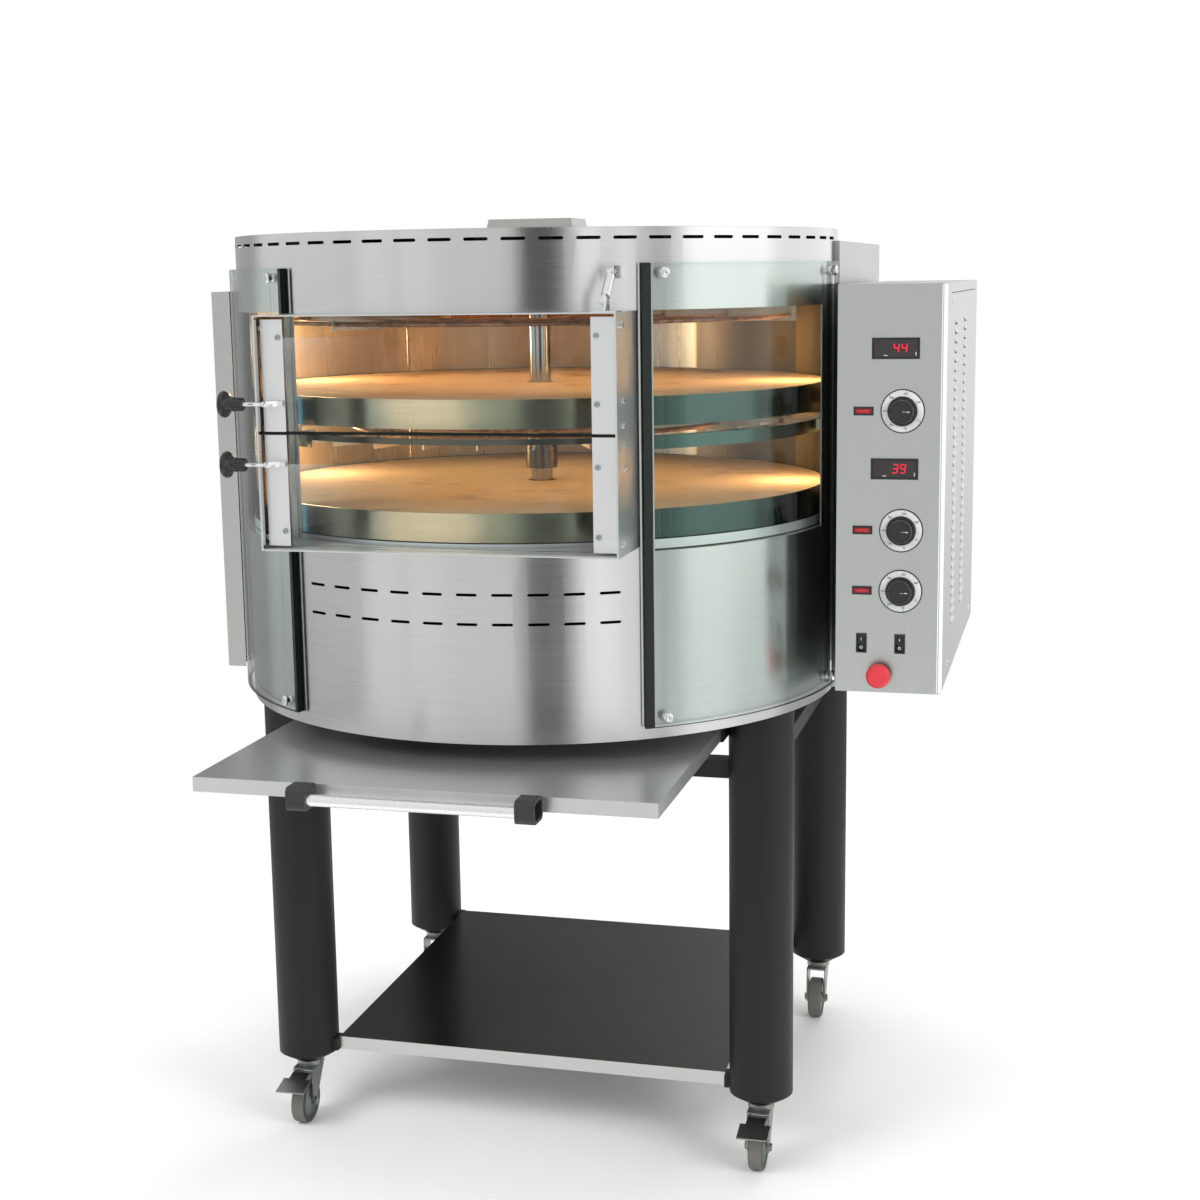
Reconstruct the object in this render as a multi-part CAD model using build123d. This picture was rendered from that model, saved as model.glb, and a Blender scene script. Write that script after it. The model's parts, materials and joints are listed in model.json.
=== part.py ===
from build123d import *
import math
import os

# Rotating pizza oven with two turning stone decks, on a stand with castors.
# Everything is drawn about the upright axis of the turntable: X to the right,
# Y to the back, Z up, floor at zero. The last step moves it so that the centre
# of the whole oven's footprint is the origin. Bearings are degrees counted
# from straight ahead of the oven towards the right.

# Clearances
fit = 0.3              # between separate pieces that follow each other's curve
run = 0.05             # radial clearance of a shaft in its bearing
slip = 0.25            # radial clearance of a screw or pin in a plate

# Round body
drum_r = 520.0
sheet = 1.5
body_z = 819.0         # underside of the body above the floor
lower_band = 295.0     # underside up to the window sill
opening_h = 367.0      # window sill up to the window head
fascia_h = 124.0       # window head up to the lid

# Square housing behind the round front
housing_side = 8.0     # sides of the housing outside the round body
housing_depth = 84.0   # back cover behind the round body
housing_drop = 20.0    # roof of the housing below the lid
seam_lip = 20.0        # folded edges that the back cover is screwed to

# Vent slots
top_slot_l = 37.0
top_slot_h = 5.0
top_slot_drop = 16.0
top_slot_pitch = 6.18
top_slot_half_count = 14
low_slot_l = 33.0
low_slot_h = 4.5
low_slot_rows = (235.0, 189.0)
low_slot_pitch = 6.13
low_slot_count = 10

# Curved side windows
glass_t = 6.0
glass_stand_off = 6.0
glass_from = 33.2
glass_to = 86.5
glass_foot = 19.0      # lower edge above the underside of the body
glass_head = 54.0      # upper edge below the lid
window_from = 35.6
window_to = 80.0
seal_w = 14.0
seal_in = 3.0
window_screw_bearings = (37.2, 83.4)
window_screw_inset = 14.5
window_screw_head_r = 6.5
window_screw_head_h = 4.0
window_screw_r = 3.0
window_spacer_r = 7.0

# Door frame, a box that stands out in front of the drum
frame_half = 283.0
frame_out = 53.0       # front of the frame ahead of the round body
frame_t = 3.0
frame_foot = 9.0       # underside above the window sill
door_opening_margin = 8.0

# Doors
pane_t = 5.0
door_recess = 15.5     # front of the frame to the front of the end plates
door_gap = 4.5         # to the frame above and below
split_rise = 188.5     # line where the two doors meet, above the window sill
split_gap = 5.0
plate_t = 1.5
plate_w = 36.0
plate_gap = 3.0        # end plate to the side of the frame
pane_short = 9.0       # end of the glass inside the end plate's edge
pivot_back = 25.0      # hinge axis behind the front of the frame
pivot_inset = 17.0     # hinge axis from the inner face of the frame
pivot_r = 3.0
pivot_lobe_r = 11.0
pivot_nut = 10.0       # across flats
pivot_nut_t = 5.0
pivot_bush_r = 6.0
plate_screw_in = 28.0  # door screws inside the end plate's edge
plate_screw_r = 2.5
plate_screw_inset = 27.0
plate_screw_mid = 45.0
plate_head_r = 4.0
plate_head_h = 2.5

# Door handles
handle_rod_r = 3.0
handle_rod_front = 6.0 # axis of the rod ahead of the frame
handle_lug_w = 8.0
handle_rod_in = 11.0   # start of the rod inside the end plate's edge
handle_rod_l = 40.0
knob_on_rod = 5.0
knob_l = 37.0
knob_hub_r = 11.5
knob_flute_r = 5.0
knob_flutes = 5
knob_rim_r = 20.5
knob_face_r = 8.0

# Catches
catch_w = 18.0
catch_d = 29.0
catch_rise = ((8.5, 53.5), (-54.5, -11.5))  # from the line where the doors meet
catch_screw_r = 2.5
catch_head_r = 4.0
catch_head_h = 2.0

# Stay between the frame and the fascia
stay_in = 23.0         # inside the side of the frame
stay_r = 7.0
stay_low_back = 23.0   # lower pin behind the front of the frame
stay_low_rise = 15.0   # and above it
stay_high_in = 15.0    # upper pin inside the round body's radius
stay_high_rise = 57.0
stay_eye_r = 6.0
stay_eye_t = 5.0
stay_lug_t = 3.0
stay_pin_r = 2.5
stay_foot_w = 38.0
stay_foot_t = 2.0

# Decks
deck_gap = 9.0         # rim to the chamber wall
deck_rise = (18.0, 191.5)   # lower edge of each rim above the window sill
deck_rim_h = 45.0
deck_rim_t = 2.0
deck_plate_t = 3.0
stone_t = 20.0
stone_parts = 8
stone_joint = 1.2
stone_hole_r = 24.0
rib_w = 4.0
rib_h = 18.0
hub_r = 26.5
hub_drop = (30.0, 80.0)

# Turntable drive
shaft_r = 19.0
shaft_over = 39.0      # top of the shaft above the chamber's ceiling
gear_module = 3.0
gear_teeth = 72
pinion_teeth = 18
gear_face = 20.0
gear_rise = 48.0       # underside of the gear above the base plate
gear_hub_r = 32.0
pinion_shaft_r = 7.0
tooth_relief = 0.35
gearbox_half = 55.0
gearbox_h = 40.0
motor_r = 55.0
motor_h = 140.0
motor_away = 130.0
bearing_r = 35.0
bearing_flange_r = 60.0
bearing_flange_t = 8.0
bearing_h = 36.0

# Chamber
liner_gap = 7.5        # casing sheet to the chamber wall
liner_t = 1.2
liner_from = 82.5
shaft_hole_r = 24.0
blanket_t = 40.0
block_gap = 1.0
block_from = 140.0     # wool blocks from the middle, clear of the heaters' tails

# Heaters
heater_r = 4.0
heater_insets = ((71.0, 14.0), (181.0, 10.0), (291.0, 6.0))  # from the wall, half opening
heater_bend_r = 14.0
heater_tail = 12.0     # ends behind the chamber wall
top_heater_drop = 19.0
low_heater_drop = 24.5   # below the rim of the upper deck
hanger_t = 2.0
hanger_count = 6
hanger_over = 15.0     # hangers beyond the inner and outer ring
bar_y = (-45.0, 150.0)
bar_t = 3.0
bar_h = 18.0

# Chamber lamps
lamp_bearings = (-95.0, 95.0)
lamp_rise = (303.0, 131.0)  # above the window sill
lamp_r = 22.0
lamp_glass_r = 17.0
lamp_proud = 6.0
lamp_dome = 6.0
lamp_depth = 9.0

# Control case on the right
case_gap = 20.0        # case to the side of the housing
case_w = 172.0
case_reach = 168.0     # front of the case ahead of the turntable's axis
case_short = 4.0       # back of the case ahead of the back cover
case_rise = 31.0       # underside of the case above the underside of the body
case_h = 664.0
tray_d = 10.0
bevel = 4.5
louvre_l = 60.0
louvre_h = 6.0
louvre_out = 2.5
louvre_pitch = 16.0
louvre_rows = 33
louvre_y = (55.0, 275.0)
louvre_top = 68.0
case_foot_r = 8.0
gland_rise = 50.0
gland_r = 10.0
gland_nut_r = 14.0
gland_out = 22.0

# Control panel
pilot_in = 42.5        # from the left edge of the panel, as are the next three
dial_in = 105.0
display_in = 93.0
stop_in = 72.0
display_rise = (562.0, 369.0)  # from the lower edge of the panel, as are the next three
dial_rise = (462.0, 269.0, 169.5)
rocker_rise = 82.0
stop_rise = 30.0
display_w = 76.0
display_h = 34.0
pilot_w = 32.0
pilot_h = 14.0
bezel_lip = 3.0
bezel_t = 3.0
behind = 20.0
dial_r = 35.5
dial_t = 1.0
dial_eye_r = 8.0
knob_r = 24.0
knob_grip_r = 19.0
knob_skirt = 5.0
knob_h = 21.0
knob_flutes = 12
spindle_r = 3.0
spindle_l = 14.0
thermostat_w = 44.0
thermostat_d = 34.0
rocker_w = 11.6
rocker_h = 24.8
rocker_side = 0.5
rocker_end = 1.3
rocker_tilt = 8.0
rocker_wall = 1.0
rocker_lip = 1.4
rocker_axis_back = 5.0
rocker_pin_r = 1.5
stop_head_r = 20.0
stop_head_h = 12.0
stop_stem_r = 8.0
stop_stand = 12.0      # back of the head from the panel
stop_collar_r = 16.0
stop_collar_t = 4.0
stop_sleeve_r = 11.0

# Temperature probes in the chamber
probe_r = 2.5
probe_bearing = -130.0
probe_in = 43.0        # bulb from the chamber wall
probe_drop = 75.0
probe_bend_r = 8.0
probe_rise = (327.0, 146.0)

# Cover on the left side
left_cover_d = 17.0

# Cap over the turntable's top bearing
cap_half = (79.0, 52.0)
cap_h = 26.0
cap_taper = 5.0
cap_t = 2.0

# Stand
leg_r = 55.0
leg_t = 3.0
leg_x = 423.0
leg_y = (-160.0, 545.0)
plug_h = 20.0
leg_top_plate = 6.0
plug_low_r = 24.0
plug_rise = 18.0
castor_top = 112.0
rail = 32.0
rail_drop = 111.0      # middle of the rails below the body
rail_wall = 2.0
shelf_gap = 8.0        # side of the lower shelf to the legs
shelf_over = 5.0       # its front and back edges beyond the legs' axes
shelf_rise = 28.0      # its top above the lower end of the leg tubes
shelf_lip = 24.0
shelf_bracket = 30.0
shelf_bracket_h = 22.0

# Pull-out shelf
pull_gap = 2.5         # side of the shelf to its runner
pull_front = 682.0
pull_depth = 740.0
pull_drop = 30.0       # its top below the body
pull_lip = 23.0
runner_over = (55.0, 53.0)  # beyond the axes of the front and back legs
runner_ledge = 16.0
pull_tube_r = 9.0
pull_end_x = (162.0, 192.0)
pull_end_out = 45.0
pull_end_h = 36.0
pull_end_wall = 5.0
pull_end_corner = 9.0
pull_socket = 6.0

# Castors
wheel_r = 40.0
wheel_w = 25.0
tyre_t = 9.0
hub_w = 29.0
axle_r = 4.0
trail = 28.0
fork_t = 2.5
fork_gap = 34.0
fork_crown_t = 3.0
swivel_head_h = 9.0
swivel_head_r = 23.0
stem_r = 5.0
stem_l = 36.0
pedal_w = 53.0
pedal_ahead = 8.0      # pedal's pin ahead of the axle
pedal_drop = 18.0      # and below the top of the castor
pedal_reach = 62.0
pedal_t = 2.5
pedal_shoe = 15.0      # brake shoe below the pedal's pin
pedal_pin_r = 2.5

# Worked out from the sizes above
sill_z = body_z + lower_band
head_z = sill_z + opening_h
lid_z = head_z + fascia_h
roof_z = lid_z - housing_drop
shell_in = drum_r - sheet
housing_half = drum_r + housing_side
housing_back = drum_r + housing_depth
liner_r = shell_in - liner_gap
deck_r = liner_r - deck_gap
glass_in = drum_r + glass_stand_off
glass_out = glass_in + glass_t
glass_z = (body_z + glass_foot, lid_z - glass_head)
frame_front = drum_r + frame_out
frame_z = (sill_z + frame_foot, head_z)
frame_plate = frame_t - 1.0
inner_z = (frame_z[0] + frame_plate, frame_z[1] - frame_plate)
inner_half = frame_half - frame_t
split_z = sill_z + split_rise
plate_out = inner_half - plate_gap
plate_in = plate_out - plate_w
pane_half = plate_out - pane_short
plate_screw_x = plate_out - plate_screw_in
handle_rod_x = (plate_out - handle_rod_in, plate_out - handle_rod_in + handle_rod_l)
knob_x = (handle_rod_x[1] - knob_on_rod, handle_rod_x[1] - knob_on_rod + knob_l)
catch_spans = [(split_z + low, split_z + high) for low, high in catch_rise]
stay_x = frame_half - stay_in
stay_low = (-frame_front + stay_low_back, head_z + stay_low_rise)
stay_high = (-drum_r + stay_high_in, head_z + stay_high_rise)
door_face = -(frame_front - door_recess)
pane_front = door_face + plate_t
pane_back = pane_front + pane_t
clamp_back = pane_back + plate_t
pivot_y = -(frame_front - pivot_back)
upper_door_z = (split_z + split_gap / 2, inner_z[1] - door_gap)
lower_door_z = (inner_z[0] + door_gap, split_z - split_gap / 2)
upper_pivot_z = inner_z[1] - pivot_inset
lower_pivot_z = inner_z[0] + pivot_inset
base_top = body_z + 3.0
gear_z = base_top + gear_rise
gear_distance = gear_module * (gear_teeth + pinion_teeth) / 2
deck_z = [sill_z + rise for rise in deck_rise]
shaft_top = head_z + shaft_over
heater_rings = [(liner_r - inset, opening) for inset, opening in heater_insets]
heater_end_r = liner_r + heater_tail
hanger_r = (heater_rings[-1][0] - hanger_over, heater_rings[0][0] + hanger_over)
lamp_heights = [sill_z + rise for rise in lamp_rise]
probe_at = liner_r - probe_in
probe_z = [sill_z + rise for rise in probe_rise]
case_x = (housing_half + case_gap, housing_half + case_gap + case_w)
case_y = (-case_reach, housing_back - case_short)
case_z = (body_z + case_rise, body_z + case_rise + case_h)
gland_z = case_z[0] + gland_rise
panel_face = case_y[0]
pilot_x = case_x[0] + pilot_in
dial_x = case_x[0] + dial_in
display_x = case_x[0] + display_in
stop_x = case_x[0] + stop_in
display_z = [case_z[0] + rise for rise in display_rise]
dial_z = [case_z[0] + rise for rise in dial_rise]
rocker_z = case_z[0] + rocker_rise
stop_z = case_z[0] + stop_rise
left_x = housing_half + left_cover_d
leg_bottom = castor_top + plug_h
rail_z = body_z - rail_drop
shelf_half = leg_x - leg_r - shelf_gap
shelf_y = (leg_y[0] - shelf_over, leg_y[1] + shelf_over)
shelf_z = leg_bottom + shelf_rise
runner_x = leg_x - leg_r - sheet
runner_y = (leg_y[0] - runner_over[0], leg_y[1] + runner_over[1])
pull_half = runner_x - pull_gap
pull_top = body_z - pull_drop
pedal_pivot = (-trail - pedal_ahead, castor_top - pedal_drop)
handle_y = -(frame_front + handle_rod_front)
axis_x = -(case_x[1] + louvre_out - left_x) / 2
axis_y = (pull_front + pull_end_out - case_y[1] - gland_out) / 2

os.makedirs("parts", exist_ok=True)


def box(x0, x1, y0, y1, z0, z1):
    """A block between two corners."""
    size = Box(abs(x1 - x0), abs(y1 - y0), abs(z1 - z0))
    return Pos((x0 + x1) / 2, (y0 + y1) / 2, (z0 + z1) / 2) * size


def rod_x(x0, x1, y, z, r):
    """A round bar along X."""
    return Pos((x0 + x1) / 2, y, z) * Rot(0, 90, 0) * Cylinder(r, abs(x1 - x0))


def rod_y(x, y0, y1, z, r):
    """A round bar along Y."""
    return Pos(x, (y0 + y1) / 2, z) * Rot(90, 0, 0) * Cylinder(r, abs(y1 - y0))


def rod_z(x, y, z0, z1, r):
    """An upright round bar."""
    return Pos(x, y, (z0 + z1) / 2) * Cylinder(r, abs(z1 - z0))


def tube_z(r_in, r_out, z0, z1):
    """An upright tube about the turntable axis."""
    return rod_z(0, 0, z0, z1, r_out) - rod_z(0, 0, z0 - 1, z1 + 1, r_in)


def polar(r, bearing):
    """A point at a radius and bearing from the turntable axis."""
    angle = math.radians(bearing)
    return (r * math.sin(angle), -r * math.cos(angle))


def sector(r_in, r_out, bearing_0, bearing_1, z0, z1):
    """An upright curved wall between two bearings."""
    middle = (bearing_0 + bearing_1) / 2
    outer = ThreePointArc(polar(r_out, bearing_0), polar(r_out, middle), polar(r_out, bearing_1))
    inner = ThreePointArc(polar(r_in, bearing_1), polar(r_in, middle), polar(r_in, bearing_0))
    edge_1 = Line(polar(r_out, bearing_1), polar(r_in, bearing_1))
    edge_0 = Line(polar(r_in, bearing_0), polar(r_out, bearing_0))
    face = make_face([outer, edge_1, inner, edge_0])
    return extrude(Pos(0, 0, z0) * face, z1 - z0, dir=(0, 0, 1))


def prism(points, z0, z1):
    """A plan outline of straight lines, raised between two heights."""
    face = make_face(Polyline(*points, close=True))
    return extrude(Pos(0, 0, z0) * face, z1 - z0, dir=(0, 0, 1))


def side_prism(points, x0, x1):
    """An outline in Y and Z, stretched along X."""
    outline = Polyline(*[(x0, y, z) for y, z in points], close=True)
    return extrude(make_face(outline), x1 - x0, dir=(1, 0, 0))


def facing(shape, bearing):
    """Turn a shape drawn at the front to another bearing."""
    return Rot(0, 0, bearing) * shape


def mirrored(shape):
    """The same piece on the other side of the oven."""
    return mirror(shape, Plane.YZ)


def nut_x(x0, x1, y, z, flats):
    """A hexagon nut along X."""
    hexagon = RegularPolygon(flats / 2, 6, major_radius=False)
    blank = extrude(hexagon, abs(x1 - x0))
    return Pos(min(x0, x1), y, z) * Rot(0, 90, 0) * blank


def rounded_slot(length, height, depth):
    """A round-ended cutter, its length along X, pointing along Y."""
    return Rot(90, 0, 0) * extrude(SlotOverall(length, height), depth / 2, both=True)


def save(name, *shapes):
    """Write one node, moved from the turntable axis to the oven's own origin."""
    solids = [solid for shape in shapes for solid in shape.solids()]
    node = solids[0] if len(solids) == 1 else Compound(solids)
    export_step(node.moved(Location((axis_x, axis_y, 0))), f"parts/{name}.step")


# Round casing: one rolled sheet with the door and window openings and the vents
shell_top = lid_z - sheet
door_bearing = math.degrees(math.asin((inner_half - door_opening_margin) / drum_r))
casing = sector(shell_in, drum_r, -90, 90, body_z, shell_top)
cuts = [sector(shell_in - 9, drum_r + 9, -door_bearing, door_bearing, *inner_z)]
for side in (-1, 1):
    cuts.append(sector(shell_in - 9, drum_r + 9, side * window_from, side * window_to, sill_z, head_z))
slot = Pos(0, -drum_r, lid_z - top_slot_drop) * rounded_slot(top_slot_l, top_slot_h, 30)
for step in range(-top_slot_half_count, top_slot_half_count + 1):
    cuts.append(facing(slot, step * top_slot_pitch))
for rise in low_slot_rows:
    slot = Pos(0, -drum_r, body_z + rise) * rounded_slot(low_slot_l, low_slot_h, 30)
    for step in range(low_slot_count):
        cuts.append(facing(slot, (step - (low_slot_count - 1) / 2) * low_slot_pitch))
screw_heights = (glass_z[0] + window_screw_inset, glass_z[1] - window_screw_inset)
window_screw_places = [
    (side * bearing, z)
    for side in (-1, 1)
    for bearing in window_screw_bearings
    for z in screw_heights
]
for bearing, z in window_screw_places:
    cuts.append(facing(rod_y(0, -drum_r - 9, -shell_in + 9, z, window_screw_r + slip), bearing))
save("drum_shell", casing - cuts)

# Lid with a lip that closes the step down to the roof of the housing
lid = rod_z(0, 0, shell_top, lid_z, drum_r)
lid_lip = sector(shell_in, drum_r, 90 + fit / 4, 270 - fit / 4, roof_z, shell_top)
save("top_cover", lid + lid_lip)

# Cap over the top bearing: a low pressed box with tapered sides
cap_base = Pos(0, 0, lid_z) * Rectangle(2 * cap_half[0], 2 * cap_half[1])
cap_roof_size = (2 * (cap_half[0] - cap_taper), 2 * (cap_half[1] - cap_taper))
cap_roof = Pos(0, 0, lid_z + cap_h) * Rectangle(*cap_roof_size)
cap_room_base = Pos(0, 0, lid_z - 1) * Rectangle(2 * (cap_half[0] - cap_t), 2 * (cap_half[1] - cap_t))
cap_room_roof = Pos(0, 0, lid_z + cap_h - cap_t) * Rectangle(
    cap_roof_size[0] - 2 * cap_t, cap_roof_size[1] - 2 * cap_t)
save("bearing_cap", loft([cap_base, cap_roof]) - loft([cap_room_base, cap_room_roof]))

# Base plate that the legs carry
housing_in = housing_half - sheet
base_disc = rod_z(0, 0, body_z, base_top, shell_in - fit)
base_tail = box(-housing_in, housing_in, sheet, housing_back - 2 * sheet, body_z, base_top)
save("base_plate", base_disc + base_tail)

# Chamber liner: floor, ceiling and the polished curved back wall
liner_out = liner_r + liner_t
liner_disc_r = shell_in - fit
liner_floor = tube_z(shaft_hole_r, liner_disc_r, sill_z - sheet, sill_z)
liner_ceiling = tube_z(shaft_hole_r, liner_disc_r, head_z, head_z + sheet)
liner_end = math.degrees(liner_t / liner_r)
liner_wall = sector(liner_r, liner_disc_r, liner_from, 360 - liner_from, sill_z, head_z)
liner_wall -= sector(liner_out, drum_r, liner_from + liner_end, 360 - liner_from - liner_end,
                     sill_z - 1, head_z + 1)
liner = liner_floor + liner_ceiling + liner_wall
top_heater_z = head_z - top_heater_drop
low_heater_z = deck_z[1] - low_heater_drop
for level in (top_heater_z, low_heater_z):
    for ring_r, ring_gap in heater_rings:
        for side in (-1, 1):
            hole = rod_y(0, -liner_r - 9, -liner_r + 9, level, heater_r + slip)
            liner -= facing(hole, 180 + side * ring_gap)
for z in lamp_heights:
    for bearing in lamp_bearings:
        liner -= facing(rod_y(0, -liner_r - 9, -liner_r + 20, z, lamp_glass_r + slip), bearing)
for z in probe_z:
    liner -= facing(rod_y(0, -liner_r - 9, -liner_r + 9, z, probe_r + slip), probe_bearing)
save("chamber_liner", liner)

# Mineral wool: blankets over and under the chamber, blocks in the back corners
blanket_hole = bearing_flange_r + 5
top_blanket = tube_z(blanket_hole, liner_disc_r - 3, head_z + sheet + fit, head_z + sheet + blanket_t)
low_blanket = tube_z(hub_r + 10, liner_disc_r - 3, sill_z - sheet - blanket_t, sill_z - sheet - fit)
block_in = liner_out + block_gap
wool = [top_blanket, low_blanket]
for side in (-1, 1):
    x_in = side * block_from
    x_out = side * (housing_in - block_gap)
    block = box(x_in, x_out, 20, housing_back - sheet - seam_lip, sill_z, head_z)
    block -= rod_z(0, 0, sill_z - 1, head_z + 1, block_in)
    for z in lamp_heights:
        for bearing in lamp_bearings:
            block -= facing(rod_y(0, -liner_out - 30, -liner_out + 9, z, lamp_r + 2), bearing)
    for z in probe_z:
        block -= facing(rod_y(0, -liner_out - 30, -liner_out + 9, z, probe_r + 3), probe_bearing)
    wool.append(block)
save("insulation", *wool)

# Square rear housing: two sides and a roof that is cut round the lid
housing_rear = housing_back - sheet
housing_top = roof_z - sheet
roof = box(-housing_half, housing_half, 0, housing_rear, housing_top, roof_z)
roof -= rod_z(0, 0, housing_top - 1, roof_z + 1, drum_r + fit)
housing = roof
for side in (-1, 1):
    wall = box(side * housing_in, side * housing_half, 0, housing_rear, body_z, housing_top)
    front_lip = box(side * shell_in, side * housing_in, 0, sheet, body_z, housing_top)
    back_lip = box(side * (housing_in - seam_lip), side * housing_in, housing_rear - sheet, housing_rear,
                   body_z, housing_top)
    housing += wall + front_lip + back_lip
save("rear_housing", housing)

# Back cover with two rows of vent slots
back = box(-housing_half, housing_half, housing_rear, housing_back, body_z, roof_z)
back_cuts = []
for z in (body_z + low_slot_rows[0], body_z + low_slot_rows[1], head_z + fascia_h / 2):
    for step in range(low_slot_count):
        x = (step - (low_slot_count - 1) / 2) * 2 * low_slot_l
        back_cuts.append(Pos(x, housing_back, z) * rounded_slot(low_slot_l * 1.2, low_slot_h, 20))
save("rear_cover", back - back_cuts)

# Cover on the left side: a shallow folded tray
left_in = left_x - sheet
left_wall = box(-left_x, -left_in, *case_y, *case_z)
left_edges = [
    box(-left_in, -housing_half, *case_y, case_z[0], case_z[0] + sheet),
    box(-left_in, -housing_half, *case_y, case_z[1] - sheet, case_z[1]),
    box(-left_in, -housing_half, case_y[1] - sheet, case_y[1], *case_z),
]
left_front = box(-left_in, -left_in + 2 * seam_lip, case_y[0], case_y[0] + sheet, *case_z)
left_cover = left_wall + left_edges + left_front
left_cover -= rod_z(0, 0, glass_z[0] - 1, glass_z[1] + 1, glass_out + window_screw_head_h + 2)
save("left_side_cover", left_cover)

# Control case: a deep box along the right side, louvred on its outer wall
case_front = case_y[0] + tray_d
case = box(*case_x, case_front, case_y[1], *case_z)
case -= box(case_x[0] + sheet, case_x[1] - sheet, case_front - 1, case_y[1] - sheet,
            case_z[0] + sheet, case_z[1] - sheet)
hood_points = [(0, 0), (louvre_out, 0), (0, louvre_h)]
for y in louvre_y:
    for row in range(louvre_rows):
        z = case_z[1] - louvre_top - row * louvre_pitch
        opening = box(case_x[1] - 2 * sheet, case_x[1] + 1, y - louvre_l / 2 + 2, y + louvre_l / 2 - 2,
                      z - louvre_h / 2, z)
        hood_outline = Polyline(
            (case_x[1], y - louvre_l / 2, z),
            (case_x[1] + louvre_out, y - louvre_l / 2, z),
            (case_x[1], y - louvre_l / 2, z + louvre_h),
            close=True)
        hood = extrude(make_face(hood_outline), louvre_l, dir=(0, 1, 0))
        case = case - opening + hood
for y in (80.0, case_y[1] - 60):
    for z in (case_z[0] + 60, case_z[1] - 60):
        case += rod_x(housing_half, case_x[0] + sheet / 2, y, z, case_foot_r)
gland_x = (case_x[0] + case_x[1]) / 2
case -= rod_y(gland_x, case_y[1] - 9, case_y[1] + 9, gland_z, gland_r + slip)
save("control_case", case)

# Cable gland in the back of the control case, with its nut inside
gland = rod_y(gland_x, case_y[1] - 12, case_y[1] + gland_out - 8, gland_z, gland_r)
gland += rod_y(gland_x, case_y[1], case_y[1] + 7, gland_z, gland_nut_r)
gland += rod_y(gland_x, case_y[1] + 8, case_y[1] + gland_out, gland_z, gland_nut_r - 1.5)
gland += rod_y(gland_x, case_y[1] - sheet - 6, case_y[1] - sheet, gland_z, gland_nut_r)
gland -= rod_y(gland_x, case_y[1] - 20, case_y[1] + gland_out + 1, gland_z, gland_r - 5)
save("cable_gland", gland)


def panel_outline(inset):
    """Plan outline of the panel tray, with its bevelled right edge."""
    lean = inset * math.tan(math.radians(22.5))
    x0 = case_x[0] + inset
    x1 = case_x[1] - inset
    y0 = case_y[0] + inset
    y1 = case_front + (inset if inset else 0)
    return [(x0, y0), (x1 - bevel + lean, y0), (x1, y0 + bevel - lean), (x1, y1), (x0, y1)]


# Control panel: a shallow tray with cut-outs for what it carries
panel = prism(panel_outline(0), *case_z)
panel -= prism(panel_outline(sheet), case_z[0] + sheet, case_z[1] - sheet)
panel_back = panel_face + sheet


def panel_cut(x, z, width, height):
    """A rectangular cut-out in the panel."""
    return box(x - width / 2, x + width / 2, panel_face - 1, panel_back + 1, z - height / 2, z + height / 2)


rocker_room = (rocker_w + 2 * rocker_side, rocker_h + 2 * rocker_end)
rocker_sleeve = (rocker_room[0] + 2 * rocker_wall, rocker_room[1] + 2 * rocker_wall)
panel_cuts = []
for z in display_z:
    panel_cuts.append(panel_cut(display_x, z, display_w - 2 * bezel_lip, display_h - 2 * bezel_lip))
for z in dial_z:
    panel_cuts.append(panel_cut(pilot_x, z, pilot_w - 2 * bezel_lip, pilot_h - 2 * bezel_lip))
    panel_cuts.append(rod_y(dial_x, panel_face - 1, panel_back + 1, z, dial_eye_r / 2 + slip))
for x in (pilot_x, dial_x):
    panel_cuts.append(panel_cut(x, rocker_z, rocker_sleeve[0] + 2 * slip, rocker_sleeve[1] + 2 * slip))
panel_cuts.append(rod_y(stop_x, panel_face - 1, panel_back + 1, stop_z, stop_sleeve_r + slip))
save("control_panel", panel - panel_cuts)


def panel_block(x, z, width, height, body_w, body_h):
    """A snap-in display or lamp: a bezel in front and a body through the panel."""
    bezel = Pos(x, panel_face - bezel_t / 2, z) * Box(width, bezel_t, height)
    return bezel + Pos(x, panel_face + behind / 2, z) * Box(body_w, behind, body_h)


# Temperature displays and pilot lamps
indicators = []
for z in display_z:
    indicators.append(panel_block(display_x, z, display_w, display_h,
                                  display_w - 2 * bezel_lip - 2 * fit, display_h - 2 * bezel_lip - 2 * fit))
for z in dial_z:
    indicators.append(panel_block(pilot_x, z, pilot_w, pilot_h,
                                  pilot_w - 2 * bezel_lip - 2 * fit, pilot_h - 2 * bezel_lip - 2 * fit))
save("panel_indicators", *indicators)

# Dial scales, flat rings on the panel
dial_face = panel_face - dial_t
scales = []
for z in dial_z:
    scales.append(rod_y(dial_x, dial_face, panel_face, z, dial_r)
                  - rod_y(dial_x, dial_face - 1, panel_face + 1, z, dial_eye_r))
save("dial_scales", *scales)

# Thermostats behind the panel, with their spindles, and their probes in the chamber
spindle_tip = dial_face - spindle_l
thermostats = []
for z in dial_z:
    half = thermostat_w / 2
    body = box(dial_x - half, dial_x + half, panel_back + fit, panel_back + thermostat_d, z - half, z + half)
    thermostats.append(body + rod_y(dial_x, spindle_tip, panel_back + 2, z, spindle_r))
for z in probe_z:
    start = (0, -liner_out - 20, z)
    bulb = (0, -probe_at, z - probe_drop)
    probe_path = FilletPolyline(start, (0, -probe_at, z), bulb, radius=probe_bend_r)
    probe = sweep(Plane(origin=start, z_dir=(0, 1, 0)) * Circle(probe_r), path=probe_path)
    thermostats.append(facing(probe, probe_bearing))
save("thermostats", *thermostats)

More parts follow.
